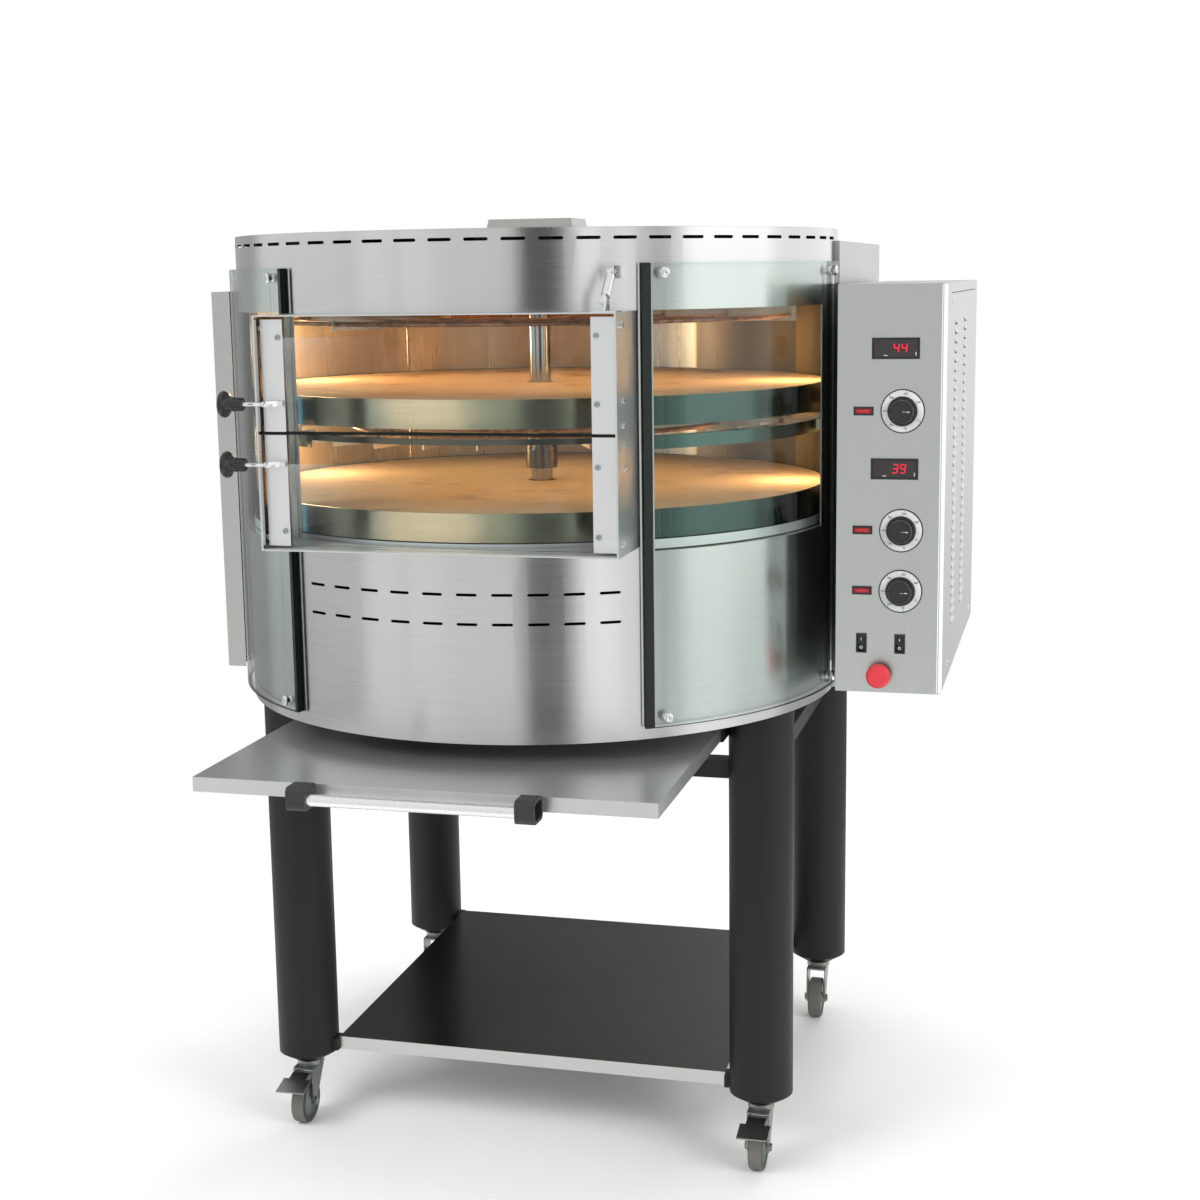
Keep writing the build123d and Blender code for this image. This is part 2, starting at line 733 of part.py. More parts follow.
# Rocker switch housings and the collar of the stop button
rocker_axis_y = panel_face + rocker_axis_back
housings = []
for x in (pilot_x, dial_x):
    lip_w = rocker_sleeve[0] + 2 * rocker_lip
    lip_h = rocker_sleeve[1] + 2 * rocker_lip
    lip = box(x - lip_w / 2, x + lip_w / 2, panel_face - 2, panel_face,
              rocker_z - lip_h / 2, rocker_z + lip_h / 2)
    sleeve = box(x - rocker_sleeve[0] / 2, x + rocker_sleeve[0] / 2, panel_face, panel_face + behind,
                 rocker_z - rocker_sleeve[1] / 2, rocker_z + rocker_sleeve[1] / 2)
    room = box(x - rocker_room[0] / 2, x + rocker_room[0] / 2, panel_face - 3, panel_face + behind - 2,
               rocker_z - rocker_room[1] / 2, rocker_z + rocker_room[1] / 2)
    pin_hole = rod_x(x - rocker_sleeve[0], x + rocker_sleeve[0], rocker_axis_y, rocker_z,
                     rocker_pin_r + slip)
    housings.append(lip + sleeve - room - pin_hole)
stop_collar = rod_y(stop_x, panel_face - stop_collar_t, panel_face, stop_z, stop_collar_r)
stop_collar += rod_y(stop_x, panel_face, panel_face + 28, stop_z, stop_sleeve_r)
stop_collar -= rod_y(stop_x, panel_face - stop_collar_t - 1, panel_face + 29, stop_z, stop_stem_r + fit)
housings.append(stop_collar)
save("switch_bezels", *housings)

# Rockers on their pins, resting with one half pressed in
for index, x in enumerate((pilot_x, dial_x), start=1):
    half = rocker_h / 2
    face = -rocker_axis_back - 2.5
    outline = [(face, 0), (face - 1.5, half), (7.0, half), (7.0, -half), (face - 1.5, -half)]
    rocker = side_prism(outline, -rocker_w / 2, rocker_w / 2)
    rocker += rod_x(-rocker_sleeve[0] / 2, rocker_sleeve[0] / 2, 0, 0, rocker_pin_r)
    save(f"rocker_{index}", Pos(x, rocker_axis_y, rocker_z) * Rot(-rocker_tilt, 0, 0) * rocker)

# Stop button: a mushroom head on a stem
stop_back = panel_face - stop_stand
stop_front = stop_back - stop_head_h
stop_head = rod_y(stop_x, stop_front, stop_back, stop_z, stop_head_r)
stop_head = fillet(stop_head.edges().filter_by(GeomType.CIRCLE).group_by(Axis.Y)[0], stop_head_h * 0.6)
stop_head += rod_y(stop_x, stop_back, panel_face + 20, stop_z, stop_stem_r)
save("stop_button", stop_head)

# Thermostat knobs with a fluted grip and a blind bore for the spindle
knob_back = dial_face - 2 * fit
knob_front = knob_back - knob_h
for index, z in enumerate(dial_z, start=1):
    skirt = rod_y(dial_x, knob_back - knob_skirt, knob_back, z, knob_r)
    grip = rod_y(dial_x, knob_front, knob_back - knob_skirt, z, knob_grip_r)
    for flute in range(knob_flutes):
        angle = math.radians(360 / knob_flutes * (flute + 0.5))
        flute_x = dial_x + (knob_grip_r + 2.2) * math.cos(angle)
        flute_z = z + (knob_grip_r + 2.2) * math.sin(angle)
        grip -= rod_y(flute_x, knob_front - 1, knob_back - knob_skirt, flute_z, 4.0)
    pointer = box(dial_x - 1.2, dial_x + 1.2, knob_front - 0.8, knob_front, z, z + knob_grip_r - 4)
    bore = rod_y(dial_x, spindle_tip - 1, knob_back + 1, z, spindle_r + run)
    save(f"dial_knob_{index}", skirt + grip + pointer - bore)

# Curved side windows
windows = []
for side in (-1, 1):
    low, high = sorted((side * glass_from, side * glass_to))
    pane = sector(glass_in, glass_out, low, high, *glass_z)
    for bearing, z in window_screw_places:
        if bearing * side > 0:
            pane -= facing(rod_y(0, -glass_out - 9, -glass_in + 9, z, window_screw_r + 4 * slip), bearing)
    windows.append(pane)
save("side_windows", *windows)

# Black seals between the windows and the casing
seals = []
seal_bearing = math.degrees(seal_w / drum_r)
seal_start = math.degrees(seal_in / drum_r)
for side in (-1, 1):
    for start in (glass_from + seal_start, glass_to - seal_start - seal_bearing):
        low, high = sorted((side * start, side * (start + seal_bearing)))
        seals.append(sector(drum_r + fit, glass_in - fit, low, high, *glass_z))
save("window_seals", *seals)

# Domed screws that hold the windows, each with its spacer
window_screws = []
for bearing, z in window_screw_places:
    screw = rod_y(0, -drum_r - fit, -glass_in + fit, z, window_spacer_r)
    screw += rod_y(0, -glass_out - 1, -shell_in + 8, z, window_screw_r)
    head = rod_y(0, -glass_out - fit - window_screw_head_h, -glass_out - fit, z, window_screw_head_r)
    head = fillet(head.edges().filter_by(GeomType.CIRCLE).group_by(Axis.Y)[0], window_screw_head_h * 0.7)
    window_screws.append(facing(screw + head, bearing))
save("window_screws", *window_screws)

# Door frame: four plates that stand out from the casing
frame = box(-frame_half, frame_half, -frame_front, 0, *frame_z)
frame -= box(-inner_half, inner_half, -frame_front - 1, 1, *inner_z)
frame -= rod_z(0, 0, frame_z[0] - 1, frame_z[1] + 1, drum_r + fit)
for side in (-1, 1):
    for z in (upper_pivot_z, lower_pivot_z):
        frame -= rod_x(side * (inner_half - 1), side * (frame_half + 1), pivot_y, z, pivot_r + slip)
catch_y = clamp_back + fit + catch_d / 2
catch_screw_places = []
for z0, z1 in catch_spans:
    for z in (z0 + 4, z1 - 4):
        catch_screw_places.append(z)
        frame -= rod_x(inner_half - 1, frame_half + 1, catch_y, z, catch_screw_r + slip)
save("door_frame", frame)

# Hinge bolts with their bushes and nuts, and the magnetic catches with their screws
fittings = []
for side in (-1, 1):
    for z in (upper_pivot_z, lower_pivot_z):
        nut_in = plate_out - 2 - fit - pivot_nut_t
        bolt = rod_x(side * nut_in, side * (frame_half + 2), pivot_y, z, pivot_r)
        bolt += nut_x(side * nut_in, side * (nut_in + pivot_nut_t), pivot_y, z, pivot_nut)
        bolt += rod_x(side * (plate_out + fit), side * (inner_half - fit), pivot_y, z, pivot_bush_r)
        bolt += rod_x(side * (frame_half + fit), side * (frame_half + 4), pivot_y, z, pivot_r + 2.5)
        fittings.append(bolt)
for z0, z1 in catch_spans:
    block = box(inner_half - catch_w, inner_half, clamp_back + fit, clamp_back + fit + catch_d, z0, z1)
    for z in (z0 + 4, z1 - 4):
        block -= rod_x(inner_half - catch_w + 3, inner_half + 1, catch_y, z, catch_screw_r + slip)
    fittings.append(block)
for z in catch_screw_places:
    screw = rod_x(inner_half - catch_w + 4, frame_half + fit, catch_y, z, catch_screw_r)
    screw += rod_x(frame_half + fit, frame_half + fit + catch_head_h, catch_y, z, catch_head_r)
    fittings.append(screw)
save("door_fittings", *fittings)

# Adjustable stay that braces the frame against the fascia
stay_dy = stay_high[0] - stay_low[0]
stay_dz = stay_high[1] - stay_low[1]
stay_l = math.hypot(stay_dy, stay_dz)
stay_lean = math.degrees(math.atan2(-stay_dy, stay_dz))
stay_bar = Pos(0, 0, stay_l / 2) * Cylinder(stay_r, stay_l - 3.2 * stay_eye_r)
for z in (0, stay_l):
    stay_bar += Pos(0, 0, z) * Rot(0, 90, 0) * Cylinder(stay_eye_r, stay_eye_t)
    neck_z = stay_eye_r if z == 0 else z - stay_eye_r
    stay_bar += Pos(0, 0, neck_z) * Box(stay_eye_t, 2 * stay_eye_r, 2 * stay_eye_r)
for z in (0, stay_l):
    stay_bar -= Pos(0, 0, z) * Rot(0, 90, 0) * Cylinder(stay_pin_r + slip, stay_eye_t + 2)
stay_bar = Pos(stay_x, stay_low[0], stay_low[1]) * Rot(stay_lean, 0, 0) * stay_bar
lug_x = stay_x + stay_eye_t / 2 + fit
foot_top = frame_z[1] + stay_foot_t
foot_lug = side_prism([(stay_low[0] - 18, foot_top), (stay_low[0] + 12, foot_top),
                       (stay_low[0] + 5, stay_low[1] + 7), (stay_low[0] - 5, stay_low[1] + 7)],
                      lug_x, lug_x + stay_lug_t)
foot = box(frame_half - stay_foot_w, frame_half, -frame_front, -frame_front + stay_foot_w,
           frame_z[1], foot_top) + foot_lug
wall_lug = box(lug_x, lug_x + stay_lug_t, stay_high[0] - 7, 0, stay_high[1] - 9, stay_high[1] + 9)
wall_lug -= rod_z(0, 0, stay_high[1] - 20, stay_high[1] + 20, drum_r + fit)
stay_pins = []
for y, z in (stay_low, stay_high):
    hole = rod_x(lug_x - 1, lug_x + stay_lug_t + 1, y, z, stay_pin_r + slip)
    foot -= hole
    wall_lug -= hole
    pin = rod_x(stay_x - stay_eye_t / 2 - 1, lug_x + stay_lug_t + 2, y, z, stay_pin_r)
    pin += rod_x(stay_x - stay_eye_t / 2 - 4, stay_x - stay_eye_t / 2 - fit, y, z, stay_pin_r + 2)
    stay_pins.append(pin)
save("frame_stay", stay_bar, foot, wall_lug, *stay_pins)


def door_screw_places(door, z_low, z_high):
    """Heights of the two screws in each end plate."""
    if door == "upper":
        return (z_high - plate_screw_inset, z_low + plate_screw_mid - 2)
    return (z_low + plate_screw_inset - 4, z_high - plate_screw_mid + 1)


def end_plates(door, z_low, z_high, pivot_z):
    """Right-hand end plate of a door with its clamp strip and hinge lobe."""
    front = box(plate_in, plate_out, door_face, pane_front, z_low, z_high)
    ear_in = plate_out - 2.0
    edge = box(ear_in, plate_out, door_face, clamp_back, z_low, z_high)
    lobe = rod_x(ear_in, plate_out, pivot_y, pivot_z, pivot_lobe_r)
    lobe += box(ear_in, plate_out, door_face, pivot_y, pivot_z - pivot_lobe_r, pivot_z + pivot_lobe_r)
    front_plate = front + edge + lobe
    front_plate -= rod_x(ear_in - 1, plate_out + 1, pivot_y, pivot_z, pivot_r + 1.2 * run)
    clamp = box(plate_in, pane_half, pane_back, clamp_back, z_low, z_high)
    pieces = []
    for z in door_screw_places(door, z_low, z_high):
        hole = rod_y(plate_screw_x, door_face - 1, clamp_back + 1, z, plate_screw_r + slip)
        front_plate -= hole
        clamp -= hole
        screw = rod_y(plate_screw_x, door_face - 1, clamp_back + 1, z, plate_screw_r)
        screw += rod_y(plate_screw_x, door_face - plate_head_h, door_face, z, plate_head_r)
        screw += rod_y(plate_screw_x, clamp_back, clamp_back + 3, z, plate_head_r)
        pieces.append(screw)
    return [front_plate, clamp, *pieces]


def door_handle(z):
    """Left-hand handle: a lug on the end plate, a short rod and a trumpet knob."""
    lug_t = 2.5
    lug_y = door_face - plate_head_h
    lug_points = [
        (-plate_screw_x + 6, lug_y), (-plate_screw_x - 5, lug_y),
        (-handle_rod_x[0] - 4, handle_y + lug_t / 2),
        (-handle_rod_x[0] - 4, handle_y - lug_t / 2), (-handle_rod_x[0] + 2, handle_y - lug_t / 2),
        (-plate_screw_x - 3, lug_y - lug_t), (-plate_screw_x + 6, lug_y - lug_t)]
    lug = prism(lug_points, z - handle_lug_w / 2, z + handle_lug_w / 2)
    rod = rod_x(-handle_rod_x[0], -handle_rod_x[1], handle_y, z, handle_rod_r)
    x_in, x_out = knob_x
    length = x_out - x_in
    neck = (-x_in - 0.46 * length, knob_hub_r - 1.0)
    waist = (-x_in - 0.68 * length, knob_rim_r - 3.5)
    rim = (-x_out + 2.5, knob_rim_r - 2.0)
    outline = [
        Line((-x_out, 0), (-x_in, 0)),
        Line((-x_in, 0), (-x_in, knob_hub_r - 1.5)),
        ThreePointArc((-x_in, knob_hub_r - 1.5), (-x_in - 0.22 * length, knob_hub_r), neck),
        ThreePointArc(neck, (-x_in - 0.59 * length, knob_hub_r + 1.6), waist),
        ThreePointArc(waist, (-x_out + 6.5, knob_rim_r), rim),
        ThreePointArc(rim, (-x_out + 0.7, (knob_rim_r + knob_face_r) / 2), (-x_out, knob_face_r)),
        Line((-x_out, knob_face_r), (-x_out, 0)),
    ]
    knob = revolve(make_face(outline), Axis.X)
    for index in range(knob_flutes):
        angle = math.radians(90.0 + index * 360.0 / knob_flutes)
        reach = knob_hub_r + 0.55 * knob_flute_r
        knob -= rod_x(-x_in + 1, -x_in - 0.4 * length, reach * math.cos(angle), reach * math.sin(angle),
                      knob_flute_r)
    knob = Pos(0, handle_y, z) * knob
    knob -= rod_x(-x_in + 1, -handle_rod_x[1], handle_y, z, handle_rod_r)
    return [lug + rod, knob]


# The two doors: frameless glass clamped between end plates
for door, (z_low, z_high), pivot_z in (
        ("upper", upper_door_z, upper_pivot_z),
        ("lower", lower_door_z, lower_pivot_z)):
    pane = box(-pane_half, pane_half, pane_front, pane_back, z_low, z_high)
    for side in (-1, 1):
        for z in door_screw_places(door, z_low, z_high):
            pane -= rod_y(side * plate_screw_x, pane_front - 1, pane_back + 1, z, plate_screw_r + 2 * slip)
    save(f"{door}_door_glass", pane)
    right = end_plates(door, z_low, z_high, pivot_z)
    save(f"{door}_door_brackets", *right, *[mirrored(piece) for piece in right])
    handle_z = door_screw_places(door, z_low, z_high)[1]
    save(f"{door}_door_handle", *door_handle(handle_z))

# Turntable shaft
save("main_shaft", rod_z(0, 0, base_top + fit, shaft_top, shaft_r))

# Deck pans: a rim, a plate with ribs under it, and a hub on the shaft
pans = []
stones = []
for rim_low, drop in zip(deck_z, hub_drop):
    rim_high = rim_low + deck_rim_h
    plate_high = rim_high - 1.0 - stone_t
    plate_low = plate_high - deck_plate_t
    pan = tube_z(deck_r - deck_rim_t, deck_r, rim_low, rim_high)
    pan += tube_z(shaft_r + 2 * run, deck_r - deck_rim_t, plate_low, plate_high)
    pan += tube_z(shaft_r + 2 * run, hub_r, plate_low - drop, plate_low)
    rib = box(-rib_w / 2, rib_w / 2, -deck_r + deck_rim_t, -hub_r + 1, plate_low - rib_h, plate_low)
    for part in range(stone_parts):
        pan += facing(rib, 360 / stone_parts * part)
    pans.append(pan)
    half_joint = math.degrees(stone_joint / 2 / deck_r)
    for part in range(stone_parts):
        start = 360 / stone_parts * part
        stones.append(sector(stone_hole_r, deck_r - deck_rim_t - 0.5, start + half_joint,
                             start + 360 / stone_parts - half_joint, plate_high, plate_high + stone_t))
save("deck_pans", *pans)
save("deck_stones", *stones)


def gear_blank(teeth, turn):
    """Outline of a spur gear with straight flanks, one tooth at the given turn."""
    pitch_r = gear_module * teeth / 2
    half_tooth = math.pi * gear_module / 4 - tooth_relief
    flank = math.tan(math.radians(20))
    levels = (
        (pitch_r - 1.25 * gear_module, half_tooth + 1.25 * gear_module * flank),
        (pitch_r + 0.9 * gear_module, half_tooth - 0.9 * gear_module * flank),
    )
    points = []
    for tooth in range(teeth):
        centre = math.radians(turn) + 2 * math.pi * tooth / teeth
        for side, order in ((-1, (0, 1)), (1, (1, 0))):
            for level in order:
                r, half = levels[level]
                angle = centre + side * half / r
                points.append((r * math.cos(angle), r * math.sin(angle)))
    return make_face(Polyline(*points, close=True))


# Main gear on the shaft, and the motor's pinion in mesh with it behind the shaft
main_gear = extrude(Pos(0, 0, gear_z) * gear_blank(gear_teeth, 90), gear_face)
main_gear += rod_z(0, 0, gear_z - 7, gear_z + gear_face + 10, gear_hub_r)
main_gear -= rod_z(0, 0, gear_z - 10, gear_z + gear_face + 20, shaft_r + 2 * run)
save("main_gear", main_gear)

pinion_turn = 270 + 180 / pinion_teeth
pinion = extrude(gear_blank(pinion_teeth, pinion_turn), gear_face + 4)
pinion = Pos(0, gear_distance, gear_z - 2) * pinion
pinion += rod_z(0, gear_distance, base_top + 15, gear_z + gear_face + 5, pinion_shaft_r)
save("motor_pinion", pinion)

# Gearmotor on the base plate
gearbox_y = (gear_distance - 38, gear_distance + motor_away + motor_r)
gearbox = box(-gearbox_half, gearbox_half, *gearbox_y, base_top, base_top + gearbox_h)
gearbox = fillet(gearbox.edges().filter_by(Axis.Z), 12)
motor_y = gear_distance + motor_away
motor_low = base_top + gearbox_h
motor_top = motor_low + motor_h
gearmotor = gearbox + rod_z(0, motor_y, motor_low, motor_top, motor_r - 4)
for fin in range(24):
    plate = box(motor_r - 8, motor_r, -1, 1, motor_low + 12, motor_top - 30)
    gearmotor += Pos(0, motor_y, 0) * facing(plate, 15 * fin)
gearmotor += rod_z(0, motor_y, motor_top - 24, motor_top + 12, motor_r)
gearmotor -= rod_z(0, gear_distance, base_top + 14, base_top + gearbox_h + 1, pinion_shaft_r + run)
save("gearmotor", gearmotor)

# Shaft bearings: one on the base plate, one on the ceiling of the chamber
low_bearing = rod_z(0, 0, base_top, base_top + bearing_flange_t, bearing_flange_r)
low_bearing += rod_z(0, 0, base_top, base_top + bearing_h, bearing_r)
low_bearing -= rod_z(0, 0, base_top - 1, base_top + bearing_h + 1, shaft_r + run)
seat = head_z + sheet
top_bearing = rod_z(0, 0, seat, seat + bearing_flange_t, bearing_flange_r)
top_bearing += rod_z(0, 0, seat, seat + bearing_h * 0.8, bearing_r)
top_bearing -= rod_z(0, 0, seat - 1, seat + bearing_h, shaft_r + run)
save("shaft_bearings", low_bearing, top_bearing)


def heater_ring(ring_r, ring_gap, level, tube_r):
    """One tubular heater: a ring open at the back, its ends bent out through the wall."""
    tail = 180 - ring_gap
    bend_at = ring_r + heater_bend_r
    swing = math.degrees(math.asin(heater_bend_r / bend_at))
    bend_centre = Vector(*polar(bend_at, tail - swing))
    on_tail = Vector(*polar(math.sqrt(bend_at ** 2 - heater_bend_r ** 2), tail))
    on_ring = Vector(*polar(ring_r, tail - swing))
    inwards = (on_tail - bend_centre) + (on_ring - bend_centre)
    on_bend = bend_centre + inwards.normalized() * heater_bend_r
    tail_end = Vector(*polar(heater_end_r, tail))

    def other(point):
        return (-point.X, point.Y)

    path = Wire([
        Line(tail_end, on_tail),
        ThreePointArc(on_tail, on_bend, on_ring),
        ThreePointArc(on_ring, polar(ring_r, 0), other(on_ring)),
        ThreePointArc(other(on_ring), other(on_bend), other(on_tail)),
        Line(other(on_tail), other(tail_end)),
    ])
    section = Plane(origin=tail_end, z_dir=on_tail - tail_end) * Circle(tube_r)
    return Pos(0, 0, level) * sweep(section, path=path)


# Tubular heaters under the ceiling and under the upper deck, with what carries them
heaters = []
sleeves = []
for level in (top_heater_z, low_heater_z):
    for ring_r, ring_gap in heater_rings:
        heaters.append(heater_ring(ring_r, ring_gap, level, heater_r))
        sleeves.append(heater_ring(ring_r, ring_gap, level, heater_r + fit))
hangers = []
for count in range(hanger_count):
    hanger = box(-hanger_t / 2, hanger_t / 2, -hanger_r[1], -hanger_r[0],
                 top_heater_z - heater_r - 5, head_z)
    hanger = facing(hanger, 360 / hanger_count * (count + 0.5)) - sleeves[:3]
    hangers.append(hanger)
for y in bar_y:
    bar = box(-liner_r, liner_r, y - bar_t / 2, y + bar_t / 2,
              low_heater_z - bar_h / 2, low_heater_z + bar_h / 2)
    bar &= rod_z(0, 0, low_heater_z - bar_h, low_heater_z + bar_h, liner_r)
    hangers.append(bar - sleeves[3:])
save("heater_elements", *heaters)
save("heater_supports", *hangers)

# Round oven lamps in the side walls of the chamber
lamps = []
for z in lamp_heights:
    for bearing in lamp_bearings:
        bezel = rod_y(0, -liner_r + 1.2, -liner_r + 1.2 + lamp_proud, z, lamp_r)
        dome = rod_y(0, -liner_r - lamp_depth, -liner_r + lamp_proud + lamp_dome, z, lamp_glass_r)
        lamps.append(facing(bezel + dome, bearing))
save("chamber_lamps", *lamps)

# Legs: round tubes closed by a plate at the top and a tapered plug at the bottom
legs = []
leg_places = [(x, y) for y in leg_y for x in (-leg_x, leg_x)]
for x, y in leg_places:
    leg = rod_z(x, y, leg_bottom, body_z, leg_r)
    leg -= rod_z(x, y, leg_bottom - 1, body_z - leg_top_plate, leg_r - leg_t)
    legs.append(leg)
    cone = Pos(x, y, (castor_top + leg_bottom) / 2) * Cone(plug_low_r, leg_r, leg_bottom - castor_top)
    plug = cone + rod_z(x, y, leg_bottom, leg_bottom + plug_rise, leg_r - leg_t - fit)
    legs.append(plug - rod_z(x, y, castor_top - 1, castor_top + stem_l, stem_r + run))
save("legs", *legs)

# Ring of rails that ties the legs together, and the brackets of the lower shelf
rails = []
leg_cut = [rod_z(x, y, 100, body_z, leg_r + fit) for x, y in leg_places]
for y in leg_y:
    bar = box(-leg_x, leg_x, y - rail / 2, y + rail / 2, rail_z - rail / 2, rail_z + rail / 2)
    bar -= box(-leg_x, leg_x, y - rail / 2 + rail_wall, y + rail / 2 - rail_wall,
               rail_z - rail / 2 + rail_wall, rail_z + rail / 2 - rail_wall)
    rails.append(bar - leg_cut)
for x in (-leg_x, leg_x):
    bar = box(x - rail / 2, x + rail / 2, *leg_y, rail_z - rail / 2, rail_z + rail / 2)
    bar -= box(x - rail / 2 + rail_wall, x + rail / 2 - rail_wall, *leg_y,
               rail_z - rail / 2 + rail_wall, rail_z + rail / 2 - rail_wall)
    rails.append(bar - leg_cut)
for x, y in leg_places:
    side = math.copysign(1, x)
    bracket = box(side * (shelf_half + fit), side * leg_x, y - shelf_bracket / 2, y + shelf_bracket / 2,
                  shelf_z - shelf_lip, shelf_z - shelf_lip + shelf_bracket_h)
    rails.append(bracket - leg_cut)
# Lower shelf: a folded tray turned upside down
lower_shelf = box(-shelf_half, shelf_half, *shelf_y, shelf_z - shelf_lip, shelf_z)
lower_shelf -= box(-shelf_half + sheet, shelf_half - sheet, shelf_y[0] + sheet, shelf_y[1] - sheet,
                   shelf_z - shelf_lip - 1, shelf_z - sheet)
save("lower_shelf", lower_shelf)

# Runners of the pull-out shelf, channels fixed between the front and back legs
pull_bottom = pull_top - pull_lip
runner_z = (pull_bottom - fit - sheet, pull_top + fit + sheet)
runner = box(runner_x, runner_x + sheet, *runner_y, *runner_z)
runner += box(runner_x - runner_ledge, runner_x, *runner_y, runner_z[0], runner_z[0] + sheet)
runner += box(runner_x - runner_ledge, runner_x, *runner_y, runner_z[1] - sheet, runner_z[1])
save("stand_frame", *rails, runner, mirrored(runner))

# Pull-out shelf: a folded tray, shown pulled out
pull_y = (-pull_front, -pull_front + pull_depth)
pull_shelf = box(-pull_half, pull_half, *pull_y, pull_bottom, pull_top)
pull_shelf -= box(-pull_half + sheet, pull_half - sheet, pull_y[0] + sheet, pull_y[1] - sheet,
                  pull_bottom - 1, pull_top - sheet)
save("pull_shelf", pull_shelf)

# Its handle: hollow moulded ends and a round tube between them
pull_end_z = (pull_top - pull_lip - 9, pull_top - pull_lip - 9 + pull_end_h)
end_centre_y = -pull_front - pull_end_out / 2
end_centre_z = (pull_end_z[0] + pull_end_z[1]) / 2
tube_y = -pull_front - pull_end_out + pull_tube_r + pull_end_wall - 1
tube_z_mid = end_centre_z - 2
end_face = Plane.YZ.offset(pull_end_x[0]) * Pos(end_centre_y, end_centre_z) * RectangleRounded(
    pull_end_out, pull_end_h, pull_end_corner)
handle_end = extrude(end_face, pull_end_x[1] - pull_end_x[0], dir=(1, 0, 0))
hollow_face = Plane.YZ.offset(pull_end_x[0] + pull_socket + 4) * Pos(
    end_centre_y, end_centre_z) * RectangleRounded(
    pull_end_out - 2 * pull_end_wall, pull_end_h - 2 * pull_end_wall, pull_end_corner - pull_end_wall + 1)
handle_end -= extrude(hollow_face, pull_end_x[1], dir=(1, 0, 0))
handle_end -= rod_x(pull_end_x[0] - 1, pull_end_x[0] + pull_socket, tube_y, tube_z_mid, pull_tube_r + slip)
save("shelf_handle_ends", handle_end, mirrored(handle_end))
handle_tube_end = pull_end_x[0] + pull_socket - fit
handle_tube = rod_x(-handle_tube_end, handle_tube_end, tube_y, tube_z_mid, pull_tube_r)
handle_tube -= rod_x(-handle_tube_end - 1, handle_tube_end + 1, tube_y, tube_z_mid, pull_tube_r - 1.5)
save("shelf_handle_tube", handle_tube)

# Castors: the swivel fork, the wheel, and a brake pedal on the two front ones
crown_z = castor_top - swivel_head_h
axle_y = -trail
for index, (x, y) in enumerate(leg_places, start=1):
    head = rod_z(0, 0, crown_z, castor_top - fit, swivel_head_r)
    stem = rod_z(0, 0, castor_top - fit, castor_top + stem_l - 2, stem_r)
    crown = box(-fork_gap / 2 - fork_t, fork_gap / 2 + fork_t, -trail - 6, swivel_head_r - 3,
                crown_z - fork_crown_t, crown_z)
    cheek_outline = [(swivel_head_r - 3, crown_z), (-trail - 6, crown_z), (axle_y - 9, wheel_r + 3),
                     (axle_y - 5, wheel_r - 9), (axle_y + 5, wheel_r - 9), (axle_y + 10, wheel_r + 3)]
    fork = head + stem + crown
    for side in (-1, 1):
        fork += side_prism(cheek_outline, side * fork_gap / 2, side * (fork_gap / 2 + fork_t))
    fork += rod_x(-fork_gap / 2 - fork_t - 4, fork_gap / 2 + fork_t + 4, axle_y, wheel_r, axle_r)
    for side in (-1, 1):
        outer = fork_gap / 2 + fork_t
        fork += rod_x(side * outer, side * (outer + 4), axle_y, wheel_r, axle_r + 3)
    wheel = rod_x(-wheel_w / 2, wheel_w / 2, axle_y, wheel_r, wheel_r)
    wheel = fillet(wheel.edges().filter_by(GeomType.CIRCLE), 3.0)
    wheel -= rod_x(-wheel_w, wheel_w, axle_y, wheel_r, wheel_r - tyre_t)
    hub = rod_x(-wheel_w / 2 + 2, wheel_w / 2 - 2, axle_y, wheel_r, wheel_r - tyre_t)
    hub += rod_x(-hub_w / 2, hub_w / 2, axle_y, wheel_r, 11.0)
    hub -= rod_x(-hub_w, hub_w, axle_y, wheel_r, axle_r + run)
    if y == leg_y[0]:
        pin_y, pin_z = pedal_pivot
        ear_x = fork_gap / 2 - fit
        fork += rod_x(-ear_x - fit, ear_x + fit, pin_y, pin_z, pedal_pin_r)
        top = [(pin_y + 5, pin_z + 4), (pin_y - 6, pin_z + 5), (pin_y - pedal_reach, pin_z - 9),
               (pin_y - pedal_reach, pin_z - 9 - pedal_t), (pin_y - 22, pin_z - 4),
               (pin_y - 14, pin_z - pedal_shoe), (pin_y - 8, pin_z - pedal_shoe + 4), (pin_y + 5, pin_z - 4)]
        pedal = side_prism(top, -ear_x + fit, ear_x - fit)
        wing = [(pin_y - 24, pin_z), (pin_y - pedal_reach, pin_z - 9),
                (pin_y - pedal_reach, pin_z - 9 - pedal_t), (pin_y - 24, pin_z - pedal_t)]
        pedal += side_prism(wing, -pedal_w / 2, pedal_w / 2)
        pedal -= rod_x(-pedal_w, pedal_w, pin_y, pin_z, pedal_pin_r + run)
        save(f"brake_pedal_{index}", Pos(x, y, 0) * pedal)
    save(f"castor_fork_{index}", Pos(x, y, 0) * fork)
    save(f"castor_wheel_{index}", Pos(x, y, 0) * wheel, Pos(x, y, 0) * hub)
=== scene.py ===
import bpy
import bmesh
import json
import math
from mathutils import Matrix, Vector


